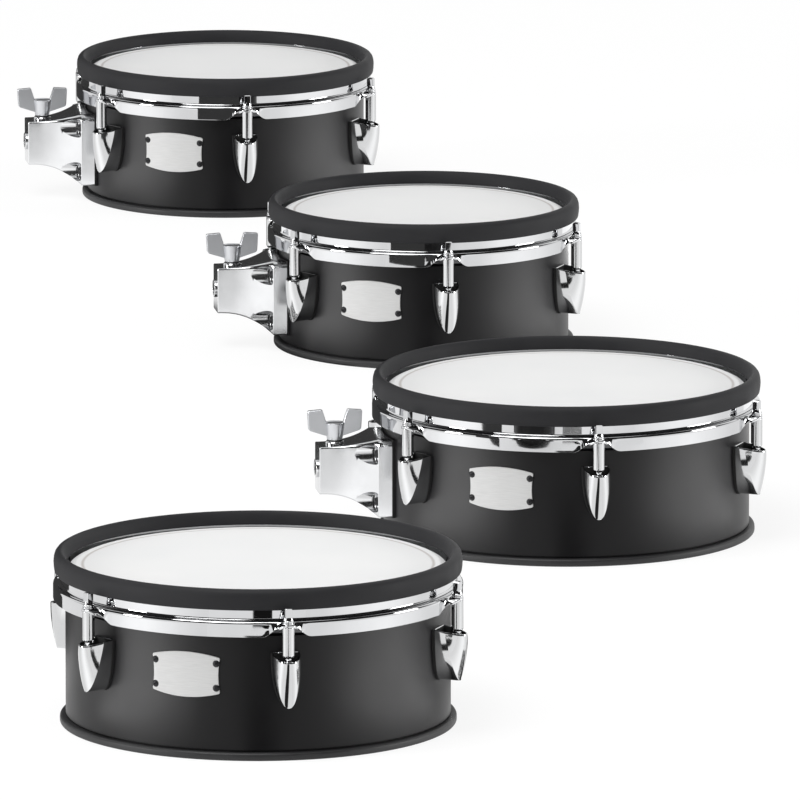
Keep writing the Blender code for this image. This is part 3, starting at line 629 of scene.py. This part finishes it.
def lug_ring(pad, level, inset=0.0, drop=None):
    """Points round a lug at a level: flat flanks, a crease, cheeks and a flat nose. A drop takes the level's place."""
    half = max(lug_half(level) - inset, 0.00003)
    side = LUG_SIDE + LUG_SIDE_GAIN * level
    nose = max(LUG_NOSE - LUG_NOSE_FALL * level**LUG_NOSE_POWER - inset, side + 0.0001)
    back = inset if inset else -LUG_FOOT
    fall = LUG_HEIGHT * level if drop is None else drop
    slant = LUG_SLANT * smoothstep(1 - SLANT_FADE * level)
    bevel = min(LUG_BEVEL, half * 0.3)
    start = Vector((half - bevel * 0.6, side + bevel))
    cheek = Vector((half * CHEEK_WIDTH, side + (nose - side) * CHEEK_REACH))
    bends = (start, cheek, Vector((half * NOSE_WIDTH, nose)), Vector((0.0, nose)))
    right = [(half, back), (half, (back + side) / 2), (half, side - bevel)]
    for k in range(CHEEK_STEPS + 1):
        t = k / CHEEK_STEPS
        weights = ((1 - t) ** 3, 3 * t * (1 - t) ** 2, 3 * t * t * (1 - t), t**3)
        point = sum((bend * weight for bend, weight in zip(bends, weights)), Vector((0.0, 0.0)))
        right.append((point.x, point.y))
    ring = [(-x, out) for x, out in right] + list(reversed(right[:-1]))
    return [(x, -(pad.radius + out), lug_top(pad) - fall - slant * max(out, 0.0) / LUG_NOSE) for x, out in ring]


def make_lugs(pad):
    sections = [lug_ring(pad, level) for level in LUG_LEVELS] + [lug_ring(pad, *mouth) for mouth in LUG_MOUTH]
    length = LUG_HEIGHT + GASKET_TOP + GASKET_RIM
    right = [(lug_half(level, LUG_HALF + GASKET_RIM), lug_top(pad) + GASKET_TOP - length * level)
             for level in reversed(LUG_LEVELS)]
    outline = [(-x, z) for x, z in reversed(right)] + right
    layers = [[(x, -(pad.radius + out), z) for x, z in outline] for out in GASKET_LAYERS]
    casings, gaskets = bmesh.new(), bmesh.new()
    for angle in LUG_ANGLES:
        loft(casings, sections, matrix=around(angle))
        loft(gaskets, layers, matrix=around(angle))
    dress(finish_mesh(f"{pad.name}_lug_casings", casings, "lug", pad.place, 26.0), ROOT, "shell_black",
          f"{pad.name}_shell")
    dress(finish_mesh(f"{pad.name}_lug_pads", gaskets, "gasket", pad.place), ROOT, "gasket_black", f"{pad.name}_shell")


def make_bottom_ring(pad):
    profile = box(pad.radius - SHELL_WALL, 0.0, pad.radius + BOTTOM_RING_OUT, BOTTOM_RING_HEIGHT)
    rounded = fillet(profile, [0.0008, 0.0016, 0.0026, 0.0006], 5)
    ring = lathe(f"{pad.name}_bottom_ring_smooth", rounded, "ring", pad.place)
    dress(ring, ROOT, "ring_black", f"{pad.name}_bottom_ring")
    SHELLS.objects.link(ring)


def make_head(pad):
    """The mesh, with its two plies as one sheet that rolls over the bearing edge, and the hoop round its skirt."""
    n = pad.name
    top = head_top(pad)
    edge = pad.radius - SHELL_WALL
    skirt = pad.radius - MESH_SKIRT_IN
    upper = [(r, top - MESH_DIP) for r in MESH_RADII]
    upper += [(edge + out, top - fall) for out, fall in MESH_ROLL]
    upper += [(skirt - 0.0012, top - 0.0018), (skirt, top - 0.0028), (skirt, top - MESH_SKIRT_FOOT)]
    lower = [(max(r - MESH_PLIES, 0.0), z - MESH_PLIES) for r, z in reversed(upper)]
    weave = "small_mesh" if pad.radius == SMALL_RADIUS else "large_mesh"
    head = lathe(f"{n}_mesh", upper + lower, weave, pad.place, closed=False, sharp=50.0)
    dress(head, ROOT, "mesh_white", f"{n}_mesh_head")
    top = flesh_top(pad)
    band = fillet(box(pad.radius - FLESH_IN, top, pad.radius + FLESH_OUT, top - FLESH_HEIGHT), 0.0012, 4)
    dress(lathe(f"{n}_flesh_hoop", band, "flesh", pad.place), f"{n}_hoop_body", "mesh_white", f"{n}_mesh_head")


def make_rim_cover(pad):
    shape = [(pad.radius + out, pad.height + z) for out, z in RIM_PROFILE]
    cover = lathe(f"{pad.name}_rim_rubber", shape, "rubber", pad.place, sharp=60.0)
    dress(cover, f"{pad.name}_hoop_body", "cover_rubber", f"{pad.name}_rim_cover")


def ear_out(x):
    """How far out from the shell the hoop's lower edge lies at a distance x along it from the middle of an ear."""
    if x < EAR_HALF:
        return EAR_OUT + EAR_TIP * math.sqrt(1 - (x / EAR_HALF) ** 2)
    return SKIRT_OUT + (EAR_OUT - SKIRT_OUT) * max(1 - (x - EAR_HALF) / EAR_BLEND, 0.0) ** 2


def hoop_ring(pad, x):
    """Section of the pressed hoop: wall, ledge, and the sheet that hangs as a skirt or lies flat as an ear."""
    shelf = ledge(pad)
    flat = smoothstep(min(max((WAVE_END - x) / WAVE_LENGTH, 0.0), 1.0) ** WAVE_POWER)
    hanging = Vector((pad.radius + SKIRT_OUT, shelf - SKIRT * SKIRT_BEND))
    lying = Vector((pad.radius + EAR_BEND_OUT, shelf - EAR_STEP))
    path = [
        Vector((pad.radius + WALL_OUT, pad.height - WALL_TOP_DROP)), Vector((pad.radius + WALL_OUT, shelf)),
        Vector((pad.radius + SKIRT_OUT, shelf)), hanging.lerp(lying, flat),
        Vector((pad.radius + ear_out(x), shelf - (SKIRT - (SKIRT - EAR_STEP) * flat))),
    ]
    ways = [(b - a).normalized() for a, b in zip(path, path[1:])]
    sides = [Vector((way.y, -way.x)) for way in ways]
    under = [path[0] + sides[0] * SHEET]
    for point, one, two in zip(path[1:-1], sides, sides[1:]):
        under.append(point + (one + two) / (1 + one.dot(two)) * SHEET)
    under.append(path[-1] + sides[-1] * SHEET)
    return fillet([tuple(p) for p in path + list(reversed(under))], HOOP_FILLETS, 4)


def make_hoop(pad):
    arc = pad.radius + HOOP_ARC_OUT
    xs = [x / 1000 for x in EAR_STATIONS]
    rest = arc * LUG_PITCH / 2 - xs[-1]
    xs += [xs[-1] + rest * k / SKIRT_STATIONS for k in range(1, SKIRT_STATIONS + 1)]
    across = [-x for x in reversed(xs[1:])] + xs[:-1]
    sections = []
    for angle in LUG_ANGLES:
        for x in across:
            sections.append([at_turn(angle + x / arc, r, z) for r, z in hoop_ring(pad, abs(x))])
    bm = bmesh.new()
    loft(bm, sections, loop=True)
    hoop = finish_mesh(f"{pad.name}_pressed_hoop", bm, "chrome", pad.place, 40.0)
    dress(hoop, f"{pad.name}_hoop_body", "chrome", f"{pad.name}_hoop")


def make_sleeves(pad):
    top = ear_top(pad) - SHEET + 0.0002
    low = lug_top(pad) - LUG_SLANT + SLEEVE_GAP
    profile = fillet([
        (SLEEVE_RADIUS, top), (SLEEVE_RADIUS, low + 0.0022), (SLEEVE_FOOT, low), (SLEEVE_HOLE, low), (SLEEVE_HOLE, top),
    ], [0.0004, 0.0008, 0.0004, 0.0002, 0.0002], 3)
    bm = bmesh.new()
    for angle in LUG_ANGLES:
        revolve(bm, profile, 28, around(angle) @ Matrix.Translation((0, -(pad.radius + ROD_OUT), 0)))
    sleeves = finish_mesh(f"{pad.name}_sleeves", bm, "sleeve", pad.place)
    dress(sleeves, f"{pad.name}_hoop_body", "chrome", f"{pad.name}_hoop")


def rod_mesh(pad):
    """Square head, washers on the ear and a shaft with a thread near its tip; origin at the ear's top."""
    tip = lug_top(pad) - LUG_CUP - LUG_SOCKET + ROD_TIP_GAP - ear_top(pad)
    bm = bmesh.new()
    revolve(bm, fillet([
        (0.0, 0.0003), (0.0048, 0.0003), (0.0048, 0.0014), (0.0041, 0.0015), (0.0041, 0.0018), (0.0045, 0.0019),
        (0.0045, 0.0031), (0.0040, 0.0033), (0.0034, 0.0060), (0.0, 0.0060),
    ], [0, 0.0003, 0.0003, 0, 0, 0.0003, 0.0003, 0.0004, 0.0003, 0], 2), 28)
    square = fillet(box(-ROD_HEAD_HALF, -ROD_HEAD_HALF, ROD_HEAD_HALF, ROD_HEAD_HALF), 0.0005, 2)
    levels = ((0.0052, 1.0), (0.0125, 1.0), (0.0132, 0.80))
    loft(bm, [[(x * share, y * share, z) for x, y in square] for z, share in levels])
    revolve(bm, fillet([
        (0.0, 0.0010), (ROD_RADIUS, 0.0010), (ROD_RADIUS, tip + 0.0008), (0.0024, tip), (0.0, tip),
    ], [0, 0, 0.0003, 0.0002, 0], 2), 24)
    root, crest = ROD_THREAD_RADII
    for k in range(ROD_THREADS):
        z = tip + ROD_THREAD_START + ROD_THREAD_LENGTH * k / ROD_THREADS
        revolve(bm, [(root, z - ROD_THREAD_HALF), (crest, z), (root, z + ROD_THREAD_HALF)], 20)
    return bm


def make_rods(pad):
    x, y, _ = pad.place
    out = pad.radius + ROD_OUT
    shared = None
    for number, angle in enumerate(LUG_ANGLES, 1):
        name = f"{pad.name}_rod_{number}_chrome"
        at = (x + math.sin(angle) * out, y - math.cos(angle) * out, ear_top(pad))
        rod = place_object(name, shared, at) if shared else finish_mesh(name, rod_mesh(pad), "chrome", at)
        rod.rotation_euler.z = angle
        shared = rod.data
        dress(rod, f"{pad.name}_rod_{number}", "rod_chrome", f"{pad.name}_tension_rod_{number}")


def make_sensor(pad):
    """A bridge across the shell with its jack box, the foam cone that touches the mesh, and the jack's nut."""
    n = pad.name
    top = head_top(pad) - BRIDGE_DROP
    under = top - BRIDGE_SHEET
    foot = top - BRIDGE_TAB
    half = pad.radius - BRIDGE_IN
    inner = half - BRIDGE_SHEET
    bridge = fillet([
        (-half, top), (half, top), (half, foot), (inner, foot), (inner, under), (-inner, under), (-inner, foot),
        (-half, foot),
    ], [0.0012, 0.0012, 0.0006, 0.0006, 0.0015, 0.0015, 0.0006, 0.0006], 3)
    bm = bmesh.new()
    loft(bm, [[(x, y, z) for x, z in bridge] for y in (-0.0119, -0.0115, 0.0115, 0.0119)])
    low = under + 0.0004 - JACK_BOX_HEIGHT
    jack_x, jack_y = JACK_BOX_HALF
    prism(bm, fillet(box(-jack_x, -jack_y, jack_x, jack_y), 0.0025, 4), low, under + 0.0001, 0.0006)
    unit = finish_mesh(f"{n}_bridge", bm, "plastic", pad.place, 30.0)
    dress(unit, ROOT, "sensor_grey", f"{n}_sensor_unit")
    cone = lathe(f"{n}_foam_cone", fillet([
        (0.0, top + CONE_HEIGHT), (CONE_TOP, top + CONE_HEIGHT), (CONE_BASE, top - 0.0002), (0.0, top - 0.0002),
    ], [0, 0.0012, 0.0006, 0], 4), "foam", pad.place, 40, closed=False)
    dress(cone, ROOT, "sensor_grey", f"{n}_sensor_unit")
    hexagon = [(JACK_NUT * math.cos(k * math.pi / 3), JACK_NUT * math.sin(k * math.pi / 3)) for k in range(6)]
    levels = ((1.0, 0.0002), (1.0, -0.0021), (JACK_HOLE_SHARE, -0.0022), (JACK_HOLE_SHARE, 0.0140))
    bm = bmesh.new()
    loft(bm, [[(x * share, y * share, low + z) for x, y in hexagon] for share, z in levels])
    dress(finish_mesh(f"{n}_jack_nut", bm, "steel", pad.place, 20.0), ROOT, "sensor_grey", f"{n}_sensor_unit")


def make_badge(pad):
    """A bare curved plate on the shell, centred between the front lug and the one to its left, and its four screws."""
    middle = pad.height - pad.badge_drop
    top = [(BADGE_HALF_WIDTH * (k / 8), BADGE_HALF_HEIGHT + BADGE_CROWN * (1 - (k / 8) ** 2)) for k in range(-8, 9)]
    side = [(BADGE_HALF_WIDTH - BADGE_WAIST * (1 - (k / 5) ** 2), -BADGE_HALF_HEIGHT * k / 5) for k in range(-4, 5)]
    rim = top + side + [(-x, -z) for x, z in top + side]
    rim = fillet(rim, [BADGE_CORNER if abs(x) == BADGE_HALF_WIDTH else 0.0 for x, z in rim], 5)

    def on_shell(x, z, out):
        return at_turn(BADGE_ANGLE + x / pad.radius, pad.radius + out, middle + z)

    bm = bmesh.new()
    loft(bm, [[on_shell(x * share, z * share, out) for x, z in rim] for share, out in BADGE_LAYERS])
    dress(finish_mesh(f"{pad.name}_badge", bm, "badge", pad.place, 40.0), ROOT, "chrome")
    bm = bmesh.new()
    aside = BADGE_HALF_WIDTH - BADGE_SCREW_IN
    for x, z in [(x, z) for x in (-aside, aside) for z in (-BADGE_SCREW_UP, BADGE_SCREW_UP)]:
        spot = around(BADGE_ANGLE + x / pad.radius) @ Matrix.Translation((0, -pad.radius, middle + z))
        revolve(bm, BADGE_SCREW, 20, spot @ Matrix.Rotation(math.pi / 2, 4, "X"), closed=False)
    dress(finish_mesh(f"{pad.name}_badge_screws", bm, "screw", pad.place), ROOT, "chrome")


# ---------------------------------------------------------------- tom bracket

def bracket_levels(pad):
    """Heights of the flange's foot and top, and of the foot and top of the end that takes the arm."""
    flange_top = pad.height - FLANGE_DROP
    end_top = flange_top - END_DROP
    return flange_top - FLANGE_HEIGHT, flange_top, end_top - END_HEIGHT, end_top


def bracket_ring(pad, out, share):
    """Points round the casting at a distance out: the plain end at a share of 0, the flange at 1."""
    flange_low, flange_top, end_low, end_top = bracket_levels(pad)
    flare = share**FLARE_POWER
    half = END_HALF + (FLANGE_HALF - END_HALF) * flare
    low = end_low + (flange_low - end_low) * flare
    top = end_top + (flange_top - end_top) * flare
    upper = 0.0014 + 0.0050 * flare
    steps, rows = 6, 8
    corners = fillet(box(-half, low, half, top), [0.0014, 0.0014, upper, upper], steps)
    ring = []
    for k, (y, z) in enumerate(corners):
        ring.append((y, z))
        if k % (steps + 1) == steps:
            y2, z2 = corners[(k + 1) % len(corners)]
            ring += [(y + (y2 - y) * j / rows, z + (z2 - z) * j / rows) for j in range(1, rows)]
    return [(-(pad.radius + out), y, z) for y, z in ring]


def pointing_out(pad, out, side, height):
    """The place of a turned shape whose axis leads straight out of the bracket."""
    return Matrix.Translation((-(pad.radius + out), side, height)) @ Matrix.Rotation(-math.pi / 2, 4, "Y")


def turned(profile, segments, matrix):
    bm = bmesh.new()
    revolve(bm, profile, segments, matrix, closed=False)
    return bm


def cut_out(body, tools, mat, sharp):
    """Take the tools out of a mesh for good, and remove them."""
    for tool in tools:
        modifier = body.modifiers.new(tool.name, "BOOLEAN")
        modifier.operation = "DIFFERENCE"
        modifier.solver = "EXACT"
        modifier.object = tool
    deps = bpy.context.evaluated_depsgraph_get()
    made = bpy.data.meshes.new_from_object(body.evaluated_get(deps), depsgraph=deps)
    body.modifiers.clear()
    body.data = made
    made.materials.clear()
    made.materials.append(MAT[mat])
    made.shade_smooth()
    made.set_sharp_from_angle(angle=math.radians(sharp))
    for tool in tools:
        bpy.data.objects.remove(tool, do_unlink=True)


def make_bracket(pad):
    """The casting with its bore and its four screw pockets, the fittings on it, its screws and its gasket."""
    n = pad.name
    flange_low, flange_top, end_low, end_top = bracket_levels(pad)
    middle = (end_low + end_top) / 2
    start = END_OUT - END_BEVEL
    end = bracket_ring(pad, END_OUT, 0.0)
    sections = [[(x, y * END_FACE_WIDTH, middle + (z - middle) * END_FACE_HEIGHT) for x, y, z in end]]
    for k in range(FLARE_STATIONS + 1):
        share = k / FLARE_STATIONS
        sections.append(bracket_ring(pad, start + (FLANGE_OUT - start) * share, share))
    sections.append(bracket_ring(pad, -FLANGE_BACK, 1.0))
    bm = bmesh.new()
    loft(bm, sections)
    body = finish_mesh(f"{n}_bracket_casting", bm, "bracket", pad.place, 34.0)

    bore = pointing_out(pad, END_OUT, 0, middle)
    corners = [(side, z) for side in (-1, 1) for z in (flange_low + POCKET_INSET, flange_top - POCKET_INSET)]
    pocket = fillet(box(0.0, 0.0, POCKET_RADIUS, POCKET_LENGTH), [0, 0.0015, 0, 0], 4)
    hollows = [
        turned(box(0.0, 0.2, pad.radius + SHELL_ROOM, -0.05), RING_SIDES, None),
        turned(box(0.0, 0.0030, BORE_RADIUS, -BORE_DEPTH), 40, bore),
    ]
    for side, z in corners:
        hollows.append(turned(pocket, 36, pointing_out(pad, FLANGE_OUT + POCKET_LIFT, side * POCKET_SIDE, z)))
    cut_out(body, [finish_mesh(f"{n}_cutter", hollow, "bracket", pad.place) for hollow in hollows], "bracket", 34.0)
    dress(body, ROOT, "cast_chrome", f"{n}_bracket")

    extra = bmesh.new()
    revolve(extra, fillet(box(ROD_BORE, -0.0004, BORE_LIP, 0.0020), [0, 0.0006, 0.0006, 0.0004], 3), 40, bore)
    revolve(extra, box(BORE_RADIUS, 0.0015, LINER_RADIUS, -LINER_DEPTH), 40, bore)
    foot, seat = end_top - 0.0006, end_top + BOLT_SEAT
    collar = fillet([
        (0.0, foot), (BOLT_COLLAR, foot), (BOLT_COLLAR, seat - 0.0012), (0.0072, seat), (0.0, seat),
    ], [0, 0, 0.0006, 0.0006, 0], 3)
    revolve(extra, collar, 40, Matrix.Translation((-(pad.radius + BOLT_OUT), 0, 0)), closed=False)
    dress(finish_mesh(f"{n}_bracket_fittings", extra, "bracket", pad.place), ROOT, "cast_chrome", f"{n}_bracket")

    screws = bmesh.new()
    head = fillet([
        (0.0, 0.0034), (0.0026, 0.0030), (0.0038, 0.0012), (0.0038, 0.0), (0.0, 0.0),
    ], [0, 0.0008, 0.0008, 0, 0], 3)
    for side, z in corners:
        revolve(screws, head, 24, pointing_out(pad, FLANGE_OUT + SCREW_LIFT, side * SCREW_SIDE, z), closed=False)
    dress(finish_mesh(f"{n}_bracket_screws", screws, "screw", pad.place), ROOT, "cast_chrome", f"{n}_bracket")

    spread = math.asin(FLANGE_HALF / pad.radius)
    section = box(pad.radius + 0.0001, flange_low - 0.0006, pad.radius + FLANGE_GASKET_OUT, flange_top)
    turns = [-math.pi / 2 - spread + 2 * spread * k / 16 for k in range(17)]
    gasket = bmesh.new()
    loft(gasket, [[at_turn(turn, r, z) for r, z in section] for turn in turns])
    dress(finish_mesh(f"{n}_flange_gasket", gasket, "gasket", pad.place), ROOT, "gasket_black", f"{n}_bracket_gasket")


def make_wing_bolt(pad):
    """The bolt with its hub and two wings, the washer under it, and the shoe that it presses on the arm."""
    n = pad.name
    _, _, end_low, end_top = bracket_levels(pad)
    base = end_top + BOLT_SEAT + BOLT_WASHER
    shoe_top = (end_low + end_top) / 2 + ROD_BORE - SHOE_NIP + SHOE_HEIGHT
    x, y, _ = pad.place
    x -= pad.radius + BOLT_OUT
    bm = bmesh.new()
    hub = fillet([
        (0.0, 0.0138), (0.0064, 0.0142), (0.0078, 0.0150), (0.0085, 0.0146), (0.0066, 0.0), (0.0, 0.0),
    ], [0, 0.0006, 0.0004, 0.0008, 0.0004, 0], 3)
    revolve(bm, hub, 40, closed=False)
    shaft = fillet(box(0.0, 0.0010, BOLT_RADIUS, shoe_top + 0.0003 - base), [0, 0, 0.0006, 0], 3)
    revolve(bm, shaft, 24, closed=False)
    wing = fillet([
        (0.0045, 0.0024), (0.0226, 0.0082), (0.0236, 0.0252), (0.0109, 0.0262), (0.0070, 0.0140), (0.0040, 0.0130),
    ], [0.0005, 0.0030, 0.0014, 0.0014, 0.0035, 0.0005], 6)
    layers = ((-0.0022, 0.0006), (-0.0017, 0.0), (0.0017, 0.0), (0.0022, 0.0006))
    for side in (-1, 1):
        loft(bm, [[(side * out, depth, z) for out, z in shrink(wing, inset)] for depth, inset in layers])
    bolt = finish_mesh(f"{n}_wing_bolt_satin", bm, "wing", (x, y, base), 30.0)
    dress(bolt, f"{n}_bolt", "wing_satin", f"{n}_wing_bolt")
    washer = fillet(box(0.0040, 0.0, 0.0066, -0.0011), 0.0002, 2)
    dress(lathe(f"{n}_wing_washer", washer, "washer", (x, y, base), 36), f"{n}_bolt", "wing_satin", f"{n}_wing_bolt")
    bm = bmesh.new()
    shoe_x, shoe_y = SHOE_HALF
    plan = fillet(box(-shoe_x, -shoe_y, shoe_x, shoe_y), 0.0010, 3)
    prism(bm, plan, shoe_top - SHOE_HEIGHT, shoe_top, 0.0003)
    shoe = finish_mesh(f"{n}_shoe_block", bm, "steel", (x, y, 0.0))
    dress(shoe, f"{n}_shoe", "clamp_steel", f"{n}_clamp_shoe")


for pad in PADS:
    for make in (make_shell, make_lugs, make_bottom_ring, make_head, make_rim_cover, make_hoop, make_sleeves,
                 make_rods, make_sensor, make_badge):
        make(pad)
    if pad.has_bracket:
        make_bracket(pad)
        make_wing_bolt(pad)


# ---------------------------------------------------------------- studio

def towards(turn):
    """A way along the floor, turned from the camera's side towards the right."""
    return -DEPTH * math.cos(turn) + RIGHT * math.sin(turn)


def seen_mix(nodes, links):
    """1 for what the camera, mirrors and glass see, 0 for the light that falls on the object."""
    path = nodes.new("ShaderNodeLightPath").outputs
    seen = calculate(nodes, links, "MAXIMUM", path["Is Camera Ray"], path["Is Glossy Ray"])[0]
    return calculate(nodes, links, "MAXIMUM", seen, path["Is Transmission Ray"])[0]


def unshaded(name):
    """A new material with no shader yet, and the socket that takes one."""
    made, nodes, links, bsdf = material(name)
    nodes.remove(bsdf)
    return made, nodes, links, nodes["Material Output"].inputs["Surface"]


def make_world():
    world = bpy.data.worlds.new("studio")
    bpy.context.scene.world = world
    world.use_nodes = True
    nodes, links = world.node_tree.nodes, world.node_tree.links
    back = nodes["Background"]
    back.inputs["Color"].default_value = (1.0, 1.0, 1.0, 1.0)
    links.new(ramp(nodes, links, seen_mix(nodes, links), SKY_LIGHT, 1.0, 0.0, 1.0), back.inputs["Strength"])


def make_floor():
    """A pale floor that the camera and mirrors see mostly as a glow of its own, so that it meets the white backdrop."""
    pale, nodes, links, surface = unshaded("pale_floor")
    diffuse = nodes.new("ShaderNodeBsdfDiffuse")
    diffuse.inputs["Color"].default_value = (FLOOR_TONE, FLOOR_TONE, FLOOR_TONE, 1.0)
    glow = nodes.new("ShaderNodeEmission")
    glow.inputs["Strength"].default_value = FLOOR_GLOW
    mix = nodes.new("ShaderNodeMixShader")
    links.new(ramp(nodes, links, seen_mix(nodes, links), 0.0, FLOOR_GLOW_SHARE, 0.0, 1.0), mix.inputs["Fac"])
    links.new(diffuse.outputs[0], mix.inputs[1])
    links.new(glow.outputs[0], mix.inputs[2])
    links.new(mix.outputs[0], surface)
    mesh = bpy.data.meshes.new("floor")
    corners = box(-FLOOR_HALF, -FLOOR_HALF, FLOOR_HALF, FLOOR_HALF)
    mesh.from_pydata([(x, y, 0) for x, y in corners], [], [(0, 1, 2, 3)])
    mesh.materials.append(pale)
    floor = place_object("floor", mesh, (0, 0, -0.0002))


def glow_card(name, columns):
    """A strip that only mirrors see; each column has its two ends and the glow there."""
    points = [tuple(end) for first, last, _ in columns for end in (first, last)]
    glows = [glow for _, _, glow in columns for _ in range(2)]
    faces = [(2 * k, 2 * k + 1, 2 * k + 3, 2 * k + 2) for k in range(len(columns) - 1)]
    mesh = bpy.data.meshes.new(name)
    mesh.from_pydata(points, [], faces)
    mesh.attributes.new("glow", "FLOAT", "POINT").data.foreach_set("value", glows)
    glowing, nodes, links, surface = unshaded(name)
    level = nodes.new("ShaderNodeAttribute")
    level.attribute_name = "glow"
    glow = nodes.new("ShaderNodeEmission")
    links.new(level.outputs["Fac"], glow.inputs["Strength"])
    links.new(glow.outputs[0], surface)
    mesh.materials.append(glowing)
    card = place_object(name, mesh)
    card.visible_camera = False
    card.visible_diffuse = False
    card.visible_shadow = False


def make_dark_side(name, distance, spread, fade, height, dark):
    """The unlit side of the studio round the front, which only mirrors see: dark, and brighter towards its ends."""
    columns = []
    for k in range(DARK_STEPS + 1):
        turn = -spread + 2 * spread * k / DARK_STEPS
        foot = KIT_ORIGIN + towards(math.radians(turn)) * distance
        level = dark + (1.0 - dark) * smoothstep((abs(turn) - spread + fade) / fade)
        columns.append((foot, foot + Vector((0, 0, height)), level))
    glow_card(name, columns)


def make_reflector(name, pad, angles, heights, middle, ends=1.0, soft=0.5):
    """A card on the floor that only mirrors see: what an upright wall mirrors between two angles and two heights."""
    spot = Vector(pad.place)
    away = CAMERA_AWAY * math.cos(ELEVATION) + (spot - KIT_ORIGIN).dot(DEPTH)
    slope = CAMERA_AWAY * math.sin(ELEVATION) / away
    columns = []
    for k in range(CARD_STEPS + 1):
        share = k / CARD_STEPS
        turn = math.radians(angles[0] + (angles[1] - angles[0]) * share)
        wall = spot + Vector((0, 0, CARD_LIFT)) + towards(turn) * pad.radius
        level = ends + (middle - ends) * smoothstep(min(share, 1 - share) / soft)
        columns.append((*(wall + towards(2 * turn) * (height / slope) for height in heights), level))
    glow_card(f"{pad.name}_{name}", columns)


def make_flag(pad):
    """A dark card behind a pad's left side, which only mirrors see, so that its edge doesn't melt into the backdrop."""
    columns = []
    for side in FLAG_SIDES:
        foot = Vector(pad.place) + RIGHT * (-pad.radius + side) + DEPTH * FLAG_BEHIND
        columns.append((foot, foot + Vector((0, 0, FLAG_HEIGHT)), FLAG_GLOW))
    glow_card(f"{pad.name}_left_flag", columns)


def area_lamp(name, width, length, power, at, rotation):
    light = bpy.data.lights.new(name, "AREA")
    light.shape = "RECTANGLE"
    light.size, light.size_y = width, length
    light.energy = power
    lamp = place_object(name, light, at)
    lamp.rotation_euler = rotation
    return lamp


def make_shell_lamp(name, pad, angle, spread, glow):
    """A soft lamp that lies in front of a pad and lights its lacquered shell only: the broad upright highlight."""
    turn = math.radians(angle)
    onward = towards(2 * turn)
    width = 2 * math.radians(spread) * (pad.radius + 2 * SHELL_LAMP_AWAY)
    at = Vector(pad.place) + Vector((0, 0, 0.002)) + towards(turn) * pad.radius + onward * SHELL_LAMP_AWAY
    rotation = (math.pi, 0.0, math.atan2(onward.y, onward.x) - math.pi / 2)
    power = glow * math.pi * width * SHELL_LAMP_LENGTH
    lamp = area_lamp(f"{pad.name}_{name}", width, SHELL_LAMP_LENGTH, power, at, rotation)
    lamp.visible_camera = False
    lamp.light_linking.receiver_collection = SHELLS


def make_lamp(name, azimuth, elevation, distance, size, power):
    rise = math.radians(elevation)
    way = towards(math.radians(azimuth)) * math.cos(rise) + Vector((0, 0, math.sin(rise)))
    area_lamp(name, *size, power, KIT_ORIGIN + way * distance, (-way).to_track_quat("-Z", "Y").to_euler())


def make_camera():
    camera = bpy.data.cameras.new("camera")
    camera.sensor_width = 36.0
    camera.lens = LENS
    camera.clip_start = 0.1
    camera.clip_end = 500.0
    forward = DEPTH * math.cos(ELEVATION) - Vector((0, 0, math.sin(ELEVATION)))
    viewer = place_object("camera", camera, KIT_ORIGIN - forward * CAMERA_AWAY)
    viewer.rotation_euler = forward.to_track_quat("-Z", "Y").to_euler()
    bpy.context.scene.camera = viewer


make_world()
make_floor()
make_dark_side("unlit_side", 14.0, 125.0, 30.0, 30.0, 0.02)
for pad in PADS:
    skirt_foot = ledge(pad) - SKIRT - 0.002
    rim_top = pad.height * pad.strip_reach
    make_reflector("low_strip", pad, (-4.0, 7.0), (0.004, skirt_foot), 0.02, soft=0.12)
    make_reflector("high_strip", pad, (-1.6, 4.4), (ledge(pad) + 0.0005, rim_top), 0.01, soft=0.04)
    make_reflector("left_reflector", pad, (-54, -14), (0.004, pad.height), 1.45)
    make_reflector("right_reflector", pad, (14, 60), (0.004, pad.height), 1.35)
    make_flag(pad)
    make_shell_lamp("shell_lamp_left", pad, -35, 9, 5.0)
    make_shell_lamp("shell_lamp_right", pad, 40, 11, 3.6)
make_lamp("top", -30, 58, 7.0, (3.5, 3.5), 215.0)
make_lamp("strip_left", -68, 10.5, 12.0, (2.2, 4.2), 520.0)
make_lamp("strip_right", 86, 10.5, 12.0, (3.6, 4.2), 520.0)
make_camera()
bpy.context.scene.view_settings.view_transform = "Standard"
